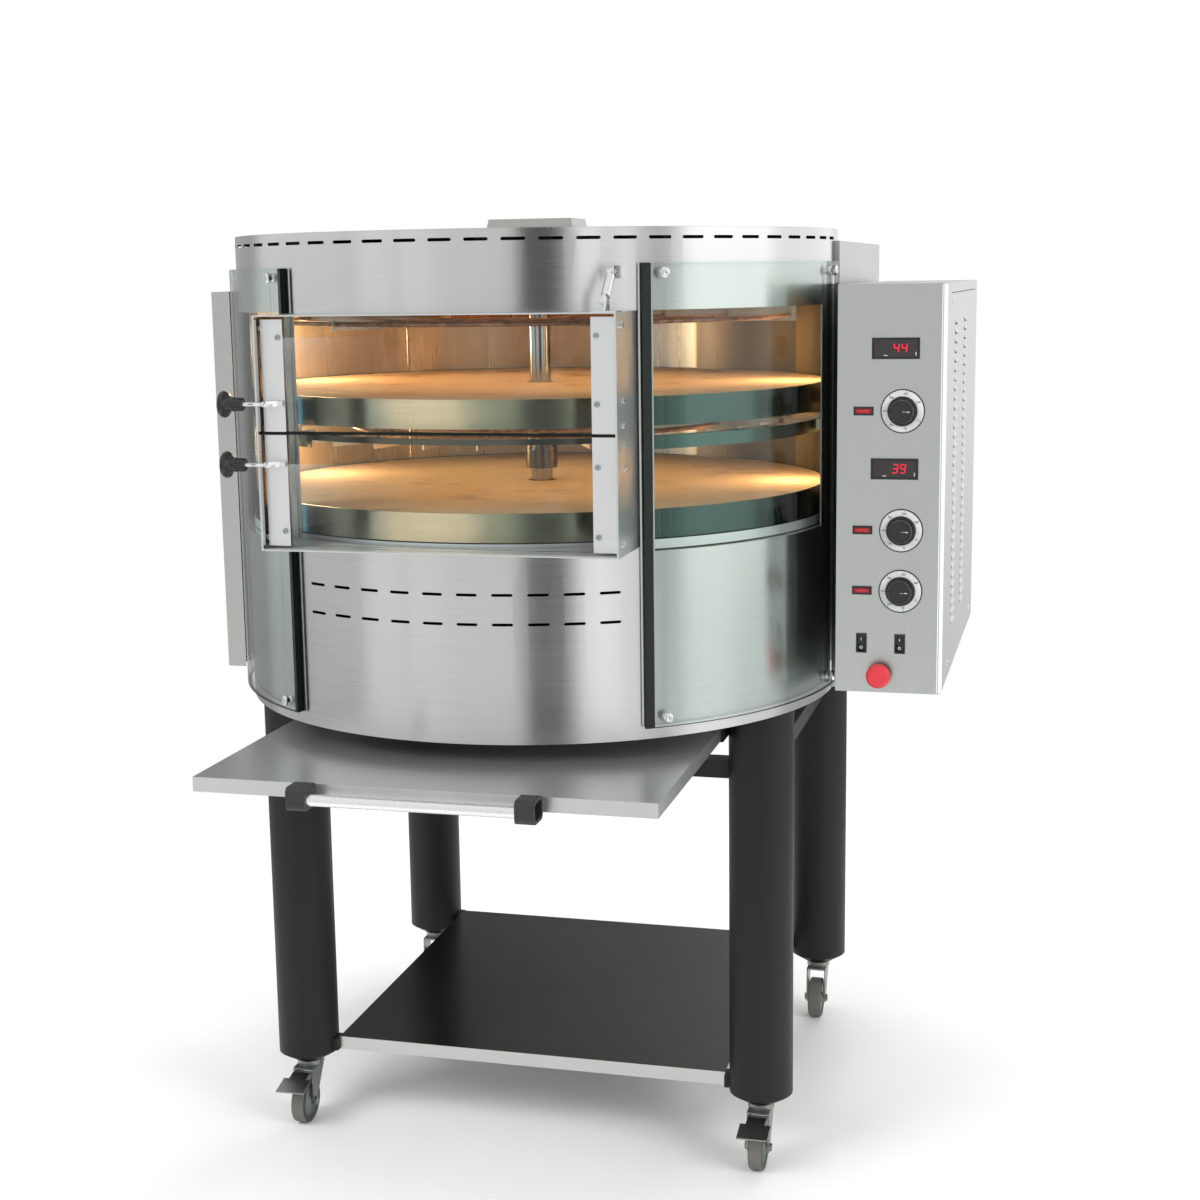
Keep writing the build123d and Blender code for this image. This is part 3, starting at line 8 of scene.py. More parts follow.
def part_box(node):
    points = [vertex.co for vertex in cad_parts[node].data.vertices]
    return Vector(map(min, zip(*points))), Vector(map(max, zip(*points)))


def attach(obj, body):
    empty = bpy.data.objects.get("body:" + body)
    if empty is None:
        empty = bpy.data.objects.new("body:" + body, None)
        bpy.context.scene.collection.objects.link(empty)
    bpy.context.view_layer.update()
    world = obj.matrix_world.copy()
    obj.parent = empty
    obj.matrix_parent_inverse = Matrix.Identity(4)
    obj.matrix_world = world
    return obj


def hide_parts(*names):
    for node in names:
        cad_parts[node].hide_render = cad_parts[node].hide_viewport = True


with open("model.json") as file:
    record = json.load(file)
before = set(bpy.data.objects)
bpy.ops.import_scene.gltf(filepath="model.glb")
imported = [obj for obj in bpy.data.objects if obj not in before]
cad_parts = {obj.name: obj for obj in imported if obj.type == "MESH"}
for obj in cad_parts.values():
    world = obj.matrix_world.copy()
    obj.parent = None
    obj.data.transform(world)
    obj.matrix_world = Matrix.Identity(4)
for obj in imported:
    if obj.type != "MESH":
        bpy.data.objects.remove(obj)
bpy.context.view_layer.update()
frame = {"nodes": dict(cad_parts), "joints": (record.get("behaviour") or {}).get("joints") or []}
nodes = frame["nodes"]
spin_joint = next(joint for joint in frame["joints"] if joint["name"] == "turntable_spin")
turning_axis = Vector((*spin_joint["pos_m"][:2], 0.0))
mm = 0.001


def at(x, y, z):
    """A point given in millimetres from where the turntable's axis meets the floor."""
    return turning_axis + Vector((x, y, z)) * mm


# Camera. It stands in front of the oven and to its right, at chest height, and
# looks down a little, as in the photograph.
eye = Vector((0.86155, -3.1761, 1.5344))
yaw, pitch, roll = math.radians(14.70), math.radians(9.76), math.radians(-0.815)
ahead = Vector((-math.sin(yaw) * math.cos(pitch), math.cos(yaw) * math.cos(pitch), -math.sin(pitch)))
level = Vector((math.cos(yaw), math.sin(yaw), 0.0))
upright = level.cross(ahead)
across = math.cos(roll) * level + math.sin(roll) * upright
upwards = math.cos(roll) * upright - math.sin(roll) * level
camera_data = bpy.data.cameras.new("camera")
camera_data.sensor_width = 36.0
camera_data.lens = 56.742
camera_data.clip_end = 60.0
camera = bpy.data.objects.new("camera", camera_data)
camera.matrix_world = Matrix((
    (across.x, upwards.x, -ahead.x, eye.x),
    (across.y, upwards.y, -ahead.y, eye.y),
    (across.z, upwards.z, -ahead.z, eye.z),
    (0.0, 0.0, 0.0, 1.0)))
bpy.context.scene.collection.objects.link(camera)
bpy.context.scene.camera = camera
bpy.context.scene.view_settings.view_transform = "Standard"


class Level:
    """A socket of a shader, on which sums can be written."""

    def __init__(self, shader, socket):
        self.shader = shader
        self.socket = socket

    def sum(self, operation, *others):
        return self.shader.node("ShaderNodeMath", {"operation": operation}, dict(enumerate((self, *others))))

    def __add__(self, other):
        return self.sum("ADD", other)

    def __sub__(self, other):
        return self.sum("SUBTRACT", other)

    def __rsub__(self, other):
        return self.shader.node("ShaderNodeMath", {"operation": "SUBTRACT"}, {0: other, 1: self})

    def __mul__(self, other):
        return self.sum("MULTIPLY", other)

    def __pow__(self, other):
        return self.sum("POWER", other)

    __radd__ = __add__
    __rmul__ = __mul__


class Shader:
    """The nodes of one material or of the world."""

    def __init__(self, owner):
        owner.use_nodes = True
        self.tree = owner.node_tree
        self.tree.nodes.clear()

    def node(self, kind, settings=None, sockets=None, out=0):
        made = self.tree.nodes.new(kind)
        for key, value in (settings or {}).items():
            setattr(made, key, value)
        for key, value in (sockets or {}).items():
            if isinstance(value, Level):
                self.tree.links.new(value.socket, made.inputs[key])
            else:
                made.inputs[key].default_value = value
        return Level(self, made.outputs[out]) if len(made.outputs) else None

    def blend(self, mask, first, second):
        """The first colour where the mask is 0, the second where it is 1."""
        tones = {key: (*value, 1.0) if isinstance(value, tuple) else value
                 for key, value in ((6, first), (7, second))}
        return self.node("ShaderNodeMix", {"data_type": "RGBA"}, {0: mask, **tones}, out=2)

    def step(self, value, low, high, start=0.0, end=1.0):
        """Runs smoothly from start to end while the value goes from low to high."""
        return self.node("ShaderNodeMapRange", {"interpolation_type": "SMOOTHSTEP"},
                         {0: value, 1: low, 2: high, 3: start, 4: end})

    def place(self):
        """Where a point of the piece lies, in metres."""
        return self.node("ShaderNodeTexCoord", out=3)

    def along(self, vector, axis):
        """One of the three numbers of a vector: 0 for X, 1 for Y, 2 for Z."""
        return self.node("ShaderNodeSeparateXYZ", None, {0: vector}, out=axis)

    def noise(self, place, scale, detail=4.0, roughness=0.6):
        """Noise; three numbers for the scale draw it out along X, Y and Z."""
        if isinstance(scale, tuple):
            place = self.node("ShaderNodeMapping", None, {"Vector": place, "Scale": scale})
            scale = 1.0
        return self.node("ShaderNodeTexNoise", None, {
            "Vector": place, "Scale": scale, "Detail": detail, "Roughness": roughness})

    def bump(self, height, strength, distance, **under):
        return self.node("ShaderNodeBump", None, {
            "Strength": strength, "Distance": distance, "Height": height, **under})

    def surface(self, **sockets):
        """Ends the material in one Principled shader."""
        names = {key.replace("_", " "): value for key, value in sockets.items()}
        skin = self.node("ShaderNodeBsdfPrincipled", None, names)
        self.node("ShaderNodeOutputMaterial", None, {0: skin})


# Studio. A pale floor that fades into a white surround, and soft lamps. What
# metal and glass mirror is a white room with a few dark and bright upright cards.
world = bpy.data.worlds.new("studio")
bpy.context.scene.world = world
room = Shader(world)
aim = room.node("ShaderNodeTexCoord", out=0)
aim_x, aim_y, aim_z = (room.along(aim, axis) for axis in (0, 1, 2))
degrees = 180.0 / math.pi
bearing = aim_x.sum("ARCTAN2", aim_y * -1.0) * degrees
cards = (
    # left edge and its softness, right edge and its softness, strength at eye height, strength lower down
    (-110.0, 10.0, -57.0, 5.0, 0.12, -0.34),
    (-57.0, 5.0, -22.0, 8.0, 0.15, 0.08),
    (-59.0, 2.0, -54.0, 2.0, -0.12, -0.12),
    (-39.0, 1.5, -35.0, 1.5, -0.14, -0.10),
    (9.0, 1.4, 26.0, 4.0, -0.76, -0.64),
    (30.0, 2.5, 39.0, 2.5, 0.44, 0.46),
    (39.0, 2.5, 45.0, 2.5, 0.02, 0.52),
    (45.0, 2.5, 52.0, 3.0, 0.38, 0.12),
    (57.0, 3.0, 65.0, 3.0, -0.20, -0.24),
    (70.0, 4.0, 92.0, 7.0, 0.92, 0.12),
    (92.0, 7.0, 116.0, 7.0, 0.88, -0.12),
    (118.0, 4.0, 166.0, 6.0, 0.45, -0.48),
    (170.0, 6.0, 182.0, 1.0, 0.25, 0.05),
    (-182.0, 1.0, -174.0, 4.0, 0.25, 0.05),
    (-172.0, 5.0, -112.0, 5.0, -0.34, -0.44),
)
lower_down = room.step(aim_z, -0.19, -0.04, 1.0, 0.0)
wall_level, ceiling_level, ground_level, daylight = 0.78, 0.90, 0.80, 0.60
mirrored = wall_level
for left, left_soft, right, right_soft, high, low in cards:
    card = room.step(bearing, left - left_soft, left + left_soft) * \
        room.step(bearing, right - right_soft, right + right_soft, 1.0, 0.0)
    mirrored = mirrored + card * (lower_down * (low - high) + high)
dark_corner = room.step(bearing, -180.0, -157.0) * room.step(bearing, -125.0, -105.0, 1.0, 0.0) * \
    room.step(aim_z, 0.12, 0.30)
mirrored = mirrored * (1.0 - dark_corner * 0.80)
overhead = room.step(aim_z, 0.35, 0.75)
below = room.step(aim_z, -0.60, -0.25, 1.0, 0.0)
mirrored = mirrored * (1.0 - overhead) + overhead * ceiling_level
mirrored = mirrored * (1.0 - below) + below * ground_level
seen_in_metal = room.node("ShaderNodeLightPath", out=3)
seen_by_eye = room.node("ShaderNodeLightPath", out=0)
seen_in_glass = room.node("ShaderNodeLightPath", out=6)
white_surround = seen_by_eye.sum("MAXIMUM", seen_in_glass)
room_light = seen_in_metal * mirrored + (1.0 - seen_in_metal) * daylight
room_light = white_surround + (1.0 - white_surround) * room_light
background = room.node("ShaderNodeBackground", None, {0: (1.0, 1.0, 1.0, 1.0), 1: room_light})
room.node("ShaderNodeOutputWorld", None, {0: background})

soft_lamps = (
    # name, place, size, power
    ("lamp_key", (-2.3, -3.0, 3.3), 2.2, 105.0),
    ("lamp_fill", (3.3, -2.0, 2.3), 1.8, 78.0),
    ("lamp_top", (0.2, 0.6, 4.2), 2.4, 55.0),
    ("lamp_back", (0.6, 3.6, 2.6), 2.0, 60.0),
)
middle_of_oven = Vector((0.0, 0.0, 0.9))
for name, place, size, power in soft_lamps:
    lamp_data = bpy.data.lights.new(name, "AREA")
    lamp_data.size = size
    lamp_data.energy = power
    lamp = bpy.data.objects.new(name, lamp_data)
    lamp.location = place
    lamp.rotation_mode = "QUATERNION"
    lamp.rotation_quaternion = (Vector(place) - middle_of_oven).to_track_quat("Z", "Y")
    lamp.visible_glossy = False
    bpy.context.scene.collection.objects.link(lamp)


def new_piece(name, bm, finishes, body, smooth=30.0, stands_for=()):
    """Turns a bmesh into a piece of the oven that moves with one of its bodies."""
    mesh = bpy.data.meshes.new(name)
    bm.to_mesh(mesh)
    bm.free()
    for finish in finishes:
        mesh.materials.append(finish)
    mesh.polygons.foreach_set("use_smooth", [True] * len(mesh.polygons))
    mesh.set_sharp_from_angle(angle=math.radians(smooth))
    piece = bpy.data.objects.new(name, mesh)
    bpy.context.scene.collection.objects.link(piece)
    if body:
        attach(piece, body)
    if stands_for:
        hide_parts(*stands_for)
    return piece


floor_finish = bpy.data.materials.new("pale_floor")
shader = Shader(floor_finish)
spot = shader.place()
floor_tone = shader.blend(shader.noise(spot, 3.0), (0.90, 0.90, 0.895), (0.93, 0.93, 0.925))
board = shader.node("ShaderNodeBsdfPrincipled", None, {
    "Base Color": floor_tone, "Roughness": 0.7, "Specular IOR Level": 0.1})
reach = shader.node("ShaderNodeVectorMath", {"operation": "LENGTH"}, {0: spot}, out=1)
gone = shader.step(reach, 1.5, 2.6)
nothing = shader.node("ShaderNodeBsdfTransparent")
shader.node("ShaderNodeOutputMaterial", None,
            {0: shader.node("ShaderNodeMixShader", None, {0: gone, 1: board, 2: nothing})})
bm = bmesh.new()
bmesh.ops.create_circle(bm, cap_ends=True, segments=64, radius=2.7)
new_piece("floor", bm, [floor_finish], None)


# Sheet steel of the round casing, the lid and the cap. Stainless sheet, rolled
# round with its brushed grain running level, so that it draws upright reflections.
quarter_turn = 0.25


def steel_finish(name, shade, roughness, grain, spread=0.03, smudge=0.05, pull=0.8, relief=0.05,
                 wave=0.0, metal=1.0):
    """Brushed stainless steel. Grain gives how fine the scratches are along X, Y and Z."""
    made = bpy.data.materials.new(name)
    shader = Shader(made)
    place = shader.place()
    scratches = shader.noise(place, grain, 5.0, 0.7)
    cloud = shader.noise(place, 5.0)
    dark = tuple(tone * (1.0 - spread) for tone in shade)
    bright = tuple(min(1.0, tone * (1.0 + spread)) for tone in shade)
    tone = shader.blend(shader.step(scratches, 0.3, 0.7), dark, bright)
    rough = (scratches - 0.5) * 0.12 + (cloud - 0.5) * smudge + roughness
    normal = shader.bump(scratches, relief, 0.0001)
    if wave:
        normal = shader.bump(shader.noise(place, 3.2, 1.0), 1.0, wave, Normal=normal)
    shader.surface(Base_Color=tone, Metallic=metal, Roughness=rough, Normal=normal,
                   Anisotropic=pull, Anisotropic_Rotation=quarter_turn)
    return made


def paint_nodes(finish, *names):
    """Gives pieces that come with the frame their finish."""
    for name in names:
        mesh = nodes[name].data
        mesh.materials.clear()
        mesh.materials.append(finish)


level_grain = (4.0, 4.0, 900.0)
sideways_grain = (4.0, 900.0, 4.0)
upright_grain = (900.0, 900.0, 4.0)
casing_steel = steel_finish("casing_steel", (0.66, 0.665, 0.65), 0.24, level_grain, wave=0.0005)
lid_steel = steel_finish("lid_steel", (0.64, 0.645, 0.63), 0.28, sideways_grain)
cap_steel = steel_finish("cap_steel", (0.50, 0.50, 0.48), 0.36, sideways_grain)
paint_nodes(casing_steel, "drum_shell")
paint_nodes(lid_steel, "top_cover")
paint_nodes(cap_steel, "bearing_cap")


# Rear housing, back cover and the tray on the left side. The same stainless
# sheet with a duller finish, folded and screwed.
folded = {"smudge": 0.08, "wave": 0.0012}
housing_steel = steel_finish("housing_steel", (0.58, 0.59, 0.57), 0.38, level_grain, **folded)
side_steel = steel_finish("side_steel", (0.50, 0.51, 0.49), 0.36, level_grain, **folded)
paint_nodes(housing_steel, "rear_housing", "rear_cover")
paint_nodes(side_steel, "left_side_cover")


# Base plate, and the mineral wool round the chamber. The plate is galvanised,
# with the crystals that zinc leaves; the wool is loose yellow-grey fibre.
galvanised = bpy.data.materials.new("galvanised")
shader = Shader(galvanised)
place = shader.place()
crystals = shader.node("ShaderNodeTexVoronoi", None, {"Vector": place, "Scale": 90.0}, out=1)
crystal = shader.node("ShaderNodeRGBToBW", None, {0: crystals})
shader.surface(Base_Color=shader.blend(crystal, (0.36, 0.37, 0.375), (0.52, 0.53, 0.535)), Metallic=0.5,
               Roughness=crystal * 0.18 + 0.32)
paint_nodes(galvanised, "base_plate")

mineral_wool = bpy.data.materials.new("mineral_wool")
shader = Shader(mineral_wool)
fibre = shader.noise(shader.place(), (40.0, 40.0, 260.0), 8.0)
shader.surface(Base_Color=shader.blend(fibre, (0.40, 0.34, 0.17), (0.72, 0.66, 0.44)), Roughness=0.95,
               Normal=shader.bump(fibre, 0.9, 0.004))
paint_nodes(mineral_wool, "insulation")


# Baking chamber: floor, ceiling and curved back wall. Bright-rolled stainless
# panels, heat-stained straw and brown in patches. Three panels of the back wall
# carry painted reflections: one pale bluish as a painted bright reflection, one
# near black and one mid brown as painted dark reflections.
def bearing_about_axis(shader, place):
    """Where a point lies round the turntable's axis, in degrees from the front."""
    centred = shader.node("ShaderNodeMapping", None, {"Vector": place, "Location": tuple(-turning_axis)})
    x, y = shader.along(centred, 0), shader.along(centred, 1)
    return x.sum("ARCTAN2", y * -1.0) * degrees


chamber_steel = bpy.data.materials.new("chamber_steel")
shader = Shader(chamber_steel)
place = shader.place()
panel_bearing = bearing_about_axis(shader, place)
streaks = shader.noise(place, (70.0, 70.0, 2.5))
heat = shader.step(shader.noise(place, 4.0) * 0.6 + streaks * 0.4, 0.3, 0.75)
tint = shader.blend(heat, (0.62, 0.54, 0.42), (0.46, 0.37, 0.26))
# panels of the back wall with painted reflections: from, to, painted tint
for start, end, shade in ((159.5, 176.0, (0.72, 0.82, 0.93)), (127.0, 159.0, (0.155, 0.14, 0.12)),
                          (98.0, 127.0, (0.36, 0.31, 0.25))):
    panel = shader.step(panel_bearing, start - 0.3, start + 0.3) * \
        shader.step(panel_bearing, end - 0.3, end + 0.3, 1.0, 0.0)
    painted_reflection_tone = shader.blend(streaks, tuple(0.85 * tone for tone in shade), shade)
    tint = shader.blend(panel, tint, painted_reflection_tone)
floor_plate = shader.step(shader.along(place, 2), 1.117, 1.119, 1.0, 0.0)
tint = shader.blend(floor_plate, tint, (0.80, 0.83, 0.84))
shader.surface(Base_Color=tint, Metallic=0.7, Roughness=streaks * 0.14 + 0.22 - floor_plate * 0.14,
               Normal=shader.bump(streaks, 0.3, 0.0002), Anisotropic=0.6, Anisotropic_Rotation=quarter_turn)
paint_nodes(chamber_steel, "chamber_liner")


# Shaft, gear, pinion, bearings and gearmotor of the turntable. The shaft and
# gears are turned steel, the bearings and the motor are castings.
shaft_steel = steel_finish("shaft_steel", (0.42, 0.42, 0.41), 0.14, level_grain, pull=0.3)
gear_steel = steel_finish("gear_steel", (0.38, 0.37, 0.35), 0.35, level_grain)
paint_nodes(shaft_steel, "main_shaft")
paint_nodes(gear_steel, "main_gear", "motor_pinion")


def plain_finish(name, dark, bright, roughness, grain, relief=0.0002, **more):
    """A moulded, painted, cast or rubber skin with a fine even texture."""
    made = bpy.data.materials.new(name)
    shader = Shader(made)
    texture = shader.noise(shader.place(), grain)
    shader.surface(Base_Color=shader.blend(texture, dark, bright),
                   Roughness=texture * 0.12 + roughness - 0.06,
                   Normal=shader.bump(texture, 0.5, relief), **more)
    return made


cast_metal = plain_finish("cast_metal", (0.28, 0.29, 0.29), (0.44, 0.45, 0.45), 0.55, 420.0, 0.0004,
                          Metallic=0.7)
paint_nodes(cast_metal, "shaft_bearings", "gearmotor")


# Decks. Two welded steel pans whose colour changes round the deck: heat colours,
# blue and straw, with painted reflections and painted shade, bright beige at the
# front, near black and dark teal further round. Eight wedge-shaped stones in each.
# The stones are cast fireclay, tan, floury, with scorched patches.
deck_steel = bpy.data.materials.new("deck_steel")
shader = Shader(deck_steel)
place = shader.place()
scratches = shader.noise(place, level_grain)
round_deck = bearing_about_axis(shader, place) + (shader.noise(place, 9.0, 2.0) - 0.5) * 9.0
temper_and_painted_reflection = (0.10, 0.29, 0.38)
# where round the deck a colour (heat colour with painted reflection and shade) begins, over how many
# degrees, the colour
for start, soft, shade in ((-31.5, 0.8, (0.09, 0.088, 0.058)), (-25.5, 3.5, (0.40, 0.42, 0.32)),
                           (-12.5, 5.0, (0.90, 0.74, 0.48)), (4.0, 3.5, (0.44, 0.43, 0.28)),
                           (10.0, 3.5, (0.26, 0.29, 0.19)), (32.0, 6.0, (0.045, 0.105, 0.092)),
                           (72.0, 6.0, (0.10, 0.095, 0.065)), (105.0, 12.0, (0.20, 0.24, 0.22)),
                           (160.0, 8.0, (0.07, 0.17, 0.20))):
    temper_and_painted_reflection = shader.blend(shader.step(round_deck, start - soft, start + soft), temper_and_painted_reflection, shade)
shader.surface(Base_Color=shader.blend(scratches * 0.25, temper_and_painted_reflection, (0.16, 0.17, 0.15)), Metallic=1.0,
               Roughness=scratches * 0.10 + 0.20, Normal=shader.bump(scratches, 0.1, 0.0001),
               Anisotropic=0.7, Anisotropic_Rotation=quarter_turn)
paint_nodes(deck_steel, "deck_pans")

fireclay = bpy.data.materials.new("fireclay")
shader = Shader(fireclay)
place = shader.place()
grit = shader.noise(place, 260.0, 5.0)
scorch = shader.noise(place, 9.0, 6.0, 0.65)
flour = shader.noise(place, 34.0, 6.0, 0.7)
clay = shader.blend(shader.step(grit, 0.3, 0.7), (0.52, 0.35, 0.19), (0.64, 0.45, 0.26))
clay = shader.blend(shader.step(scorch, 0.52, 0.72, 0.0, 0.55), clay, (0.22, 0.12, 0.055))
clay = shader.blend(shader.step(flour, 0.54, 0.75, 0.0, 0.35), clay, (0.80, 0.70, 0.54))
shader.surface(Base_Color=clay, Roughness=0.88, Normal=shader.bump(grit, 0.5, 0.0005))
paint_nodes(fireclay, "deck_stones")


# Heaters and what holds them. Tubular elements, their sheath oxidised to a
# coppery brown; the hangers and cross bars are bright strip.
sheath = bpy.data.materials.new("heater_sheath")
shader = Shader(sheath)
scale = shader.noise(shader.place(), 60.0, 5.0)
oxide = shader.blend(shader.step(scale, 0.35, 0.7), (0.20, 0.095, 0.05), (0.42, 0.24, 0.14))
shader.surface(Base_Color=oxide, Metallic=0.8, Roughness=scale * 0.2 + 0.24,
               Normal=shader.bump(scale, 0.4, 0.0003))
paint_nodes(sheath, "heater_elements")
strip_steel = steel_finish("strip_steel", (0.46, 0.40, 0.32), 0.24, level_grain)
paint_nodes(strip_steel, "heater_supports", "thermostats")


# Heater surround. A band of steel, blued by the heat, runs round under the upper
# deck on the cross bars, shallower at the doors; bright plates hold the outer heater.
def add_shape(bm, shape, stand, finish=None):
    """Puts a shape that was made about the origin into a piece, where stand says."""
    for face in shape.faces if finish is not None else ():
        face.material_index = finish
    bmesh.ops.recalc_face_normals(shape, faces=shape.faces)
    mesh = bpy.data.meshes.new("shape")
    shape.to_mesh(mesh)
    shape.free()
    mesh.transform(stand)
    bm.from_mesh(mesh)
    bpy.data.meshes.remove(mesh)


def raise_faces(shape, faces, height):
    made = bmesh.ops.extrude_face_region(shape, geom=faces)["geom"]
    verts = [part for part in made if isinstance(part, bmesh.types.BMVert)]
    bmesh.ops.translate(shape, verts=verts, vec=(0.0, 0.0, height))


def slab(bm, corners, low, high, finish=0):
    """An upright prism: its outline seen from above, in millimetres, its ends and its finish."""
    shape = bmesh.new()
    base = shape.faces.new([shape.verts.new(Vector((x, y, low)) * mm) for x, y in corners])
    raise_faces(shape, [base], (high - low) * mm)
    bmesh.ops.bevel(shape, geom=shape.edges[:], offset=0.0001, affect="EDGES", segments=1, profile=0.5,
                    material=-1)
    add_shape(bm, shape, Matrix.Translation(turning_axis), finish)


def hoop(bm, radius, wall, low, high, start, end, finish=0):
    """A band of sheet bent round the turntable's axis, from one bearing to another."""
    shape = bmesh.new()
    inside = radius - wall
    section = [shape.verts.new(Vector((0.0, -reach, z)) * mm)
               for reach, z in ((radius, low), (radius, high), (inside, high), (inside, low))]
    outline = [shape.edges.new((section[index - 1], section[index])) for index in range(4)]
    centre, angle = (0.0, 0.0, 0.0), math.radians(end - start)
    bmesh.ops.rotate(shape, verts=section, cent=centre, matrix=Matrix.Rotation(math.radians(start), 3, "Z"))
    bmesh.ops.spin(shape, geom=section + outline, cent=centre, axis=(0.0, 0.0, 1.0), angle=angle,
                   steps=round((end - start) / 2.0), use_merge=end - start > 359.0)
    bmesh.ops.remove_doubles(shape, verts=shape.verts, dist=0.000001)
    open_ends = [edge for edge in shape.edges if edge.is_boundary]
    bmesh.ops.holes_fill(shape, edges=open_ends, sides=4)
    add_shape(bm, shape, Matrix.Translation(turning_axis), finish)


surround_steel = bpy.data.materials.new("surround_steel")
shader = Shader(surround_steel)
place = shader.place()
scratches = shader.noise(place, level_grain)
blued = shader.step(bearing_about_axis(shader, place), 20.0, 34.0)
surround_tone = shader.blend(blued, (0.10, 0.10, 0.068), (0.055, 0.13, 0.112))
shader.surface(Base_Color=shader.blend(scratches * 0.25, surround_tone, (0.16, 0.17, 0.15)), Metallic=1.0,
               Roughness=scratches * 0.10 + 0.20, Normal=shader.bump(scratches, 0.1, 0.0001),
               Anisotropic=0.7, Anisotropic_Rotation=quarter_turn)
clip_steel = steel_finish("clip_steel", (0.80, 0.70, 0.55), 0.30, level_grain, pull=0.0)
bm = bmesh.new()
hoop(bm, 498.5, 1.5, 1269.0, 1290.0, 31.0, 329.0)
hoop(bm, 498.5, 1.5, 1281.0, 1290.0, -31.0, 31.0)
for count in range(36):
    turn = math.radians(count * 10.0 + 5.0)
    outwards, sideways = Vector((math.sin(turn), -math.cos(turn))), Vector((math.cos(turn), math.sin(turn)))
    corners = [outwards * reach + sideways * half
               for reach, half in ((428.0, -1.5), (497.5, -1.5), (497.5, 1.5), (428.0, 1.5))]
    slab(bm, corners, 1273.0, 1288.0, 1)
new_piece("heater_surround", bm, [surround_steel, clip_steel], "oven")


# Lip of the chamber floor. The floor's front edge is folded up behind the doors
# and windows and closes the gap below the lower deck.
lip_steel = steel_finish("lip_steel", (0.66, 0.69, 0.70), 0.30, level_grain, pull=0.0, metal=0.6)
bm = bmesh.new()
hoop(bm, 507.4, 1.2, 1116.0, 1130.6, -84.0, 84.0)
new_piece("floor_lip", bm, [lip_steel], "oven")


# Collar on the shaft. A turned sleeve under the upper deck's hub, oxidised dark,
# that is clamped to the shaft and turns with it.
collar_steel = steel_finish("collar_steel", (0.16, 0.15, 0.13), 0.26, level_grain, pull=0.3)
bm = bmesh.new()
for radius, wall, low, high in ((28.0, 9.4, 1199.0, 1246.4), (26.6, 8.0, 1197.6, 1199.0)):
    hoop(bm, radius, wall, low, high, 0.0, 360.0)
new_piece("shaft_collar", bm, [collar_steel], "turntable")


# Chamber lamps. A pressed steel ring holds a frosted glass dome with a small
# halogen bulb behind it; each throws warm light across the chamber.
def merged_copy(node):
    """A copy of a frame piece's mesh, with its loose triangles joined up."""
    bm = bmesh.new()
    bm.from_mesh(nodes[node].data)
    bmesh.ops.remove_doubles(bm, verts=bm.verts, dist=0.000002)
    return bm


def refinished(node, name, finishes, choose, body, smooth=30.0):
    """Stands in for a frame piece, with the finish that choose gives for each face."""
    bm = merged_copy(node)
    for face in bm.faces:
        face.material_index = int(choose(face))
    return new_piece(name, bm, finishes, body, smooth, stands_for=[node])


lamp_glow = bpy.data.materials.new("lamp_glow")
shader = Shader(lamp_glow)
frost = shader.noise(shader.place(), 300.0, 2.0)
glow = shader.blend(frost, (1.0, 0.66, 0.36), (1.0, 0.80, 0.54))
shader.surface(Base_Color=glow, Roughness=0.35, Normal=shader.bump(frost, 0.3, 0.0003),
               Emission_Color=glow, Emission_Strength=4.0)
lamp_places = [at(side * 511.0, 44.7, z) for side in (-1, 1) for z in (1417.0, 1245.0)]
dome_radius = 0.0172


def is_lamp_dome(face):
    middle = face.calc_center_median()
    nearest = min(lamp_places, key=lambda place: (place - middle).length)
    away = middle - nearest
    outwards = Vector((nearest.x - turning_axis.x, nearest.y - turning_axis.y, 0.0)).normalized()
    return (away - outwards * away.dot(outwards)).length < dome_radius


refinished("chamber_lamps", "chamber_lamp_set", [strip_steel, lamp_glow], is_lamp_dome, "oven")
warm_lights = [("POINT", place + (turning_axis - place).to_2d().to_3d() * 0.12, 0.04, 1.9)
               for place in lamp_places]
warm_lights += [("AREA", at(0.0, 0.0, z), 0.74, 1.55) for z in (1475.0, 1301.0)]
for index, (kind, place, size, power) in enumerate(warm_lights):
    bulb_data = bpy.data.lights.new(f"bulb_{index}", kind)
    bulb_data.energy = power
    bulb_data.color = (1.0, 0.65, 0.35)
    if kind == "AREA":
        bulb_data.shape = "DISK"
        bulb_data.size = size
    else:
        bulb_data.shadow_soft_size = size
    bulb = bpy.data.objects.new(f"bulb_{index}", bulb_data)
    bulb.location = place
    bulb.visible_glossy = kind == "POINT" and place.x < turning_axis.x
    bpy.context.scene.collection.objects.link(bulb)


# Curved side windows and their seals. Each window is 6 mm bent safety glass with
# ground edges that look nearly black, on strips of black rubber.
def glass_finish(name, body_tone):
    """Clear glass: what lies behind it shows through, and the room mirrors in it."""
    made = bpy.data.materials.new(name)
    shader = Shader(made)
    dust = shader.noise(shader.place(), 7.0, 6.0)
    film = shader.node("ShaderNodeBsdfPrincipled", None, {
        "Base Color": shader.blend(dust, (0.90, 0.93, 0.92), (1.0, 1.0, 1.0)), "Metallic": 1.0,
        "Roughness": dust * 0.02 + 0.01})
    through = shader.node("ShaderNodeBsdfTransparent", None, {0: (*body_tone, 1.0)})
    slant = shader.node("ShaderNodeLayerWeight", None, {0: 0.5}, out=1)
    mirror = slant ** 5.0 * 0.982 + 0.018
    shader.node("ShaderNodeOutputMaterial", None,
                {0: shader.node("ShaderNodeMixShader", None, {0: mirror, 1: through, 2: film})})
    return made


window_glass = glass_finish("window_glass", (0.945, 0.972, 0.96))
glass_edge = plain_finish("glass_edge", (0.003, 0.009, 0.007), (0.008, 0.018, 0.014), 0.3, 40.0,
                          Specular_IOR_Level=0.06)


def is_window_edge(face):
    middle = face.calc_center_median() - turning_axis
    return abs(face.normal.dot(Vector((middle.x, middle.y, 0.0)).normalized())) < 0.7


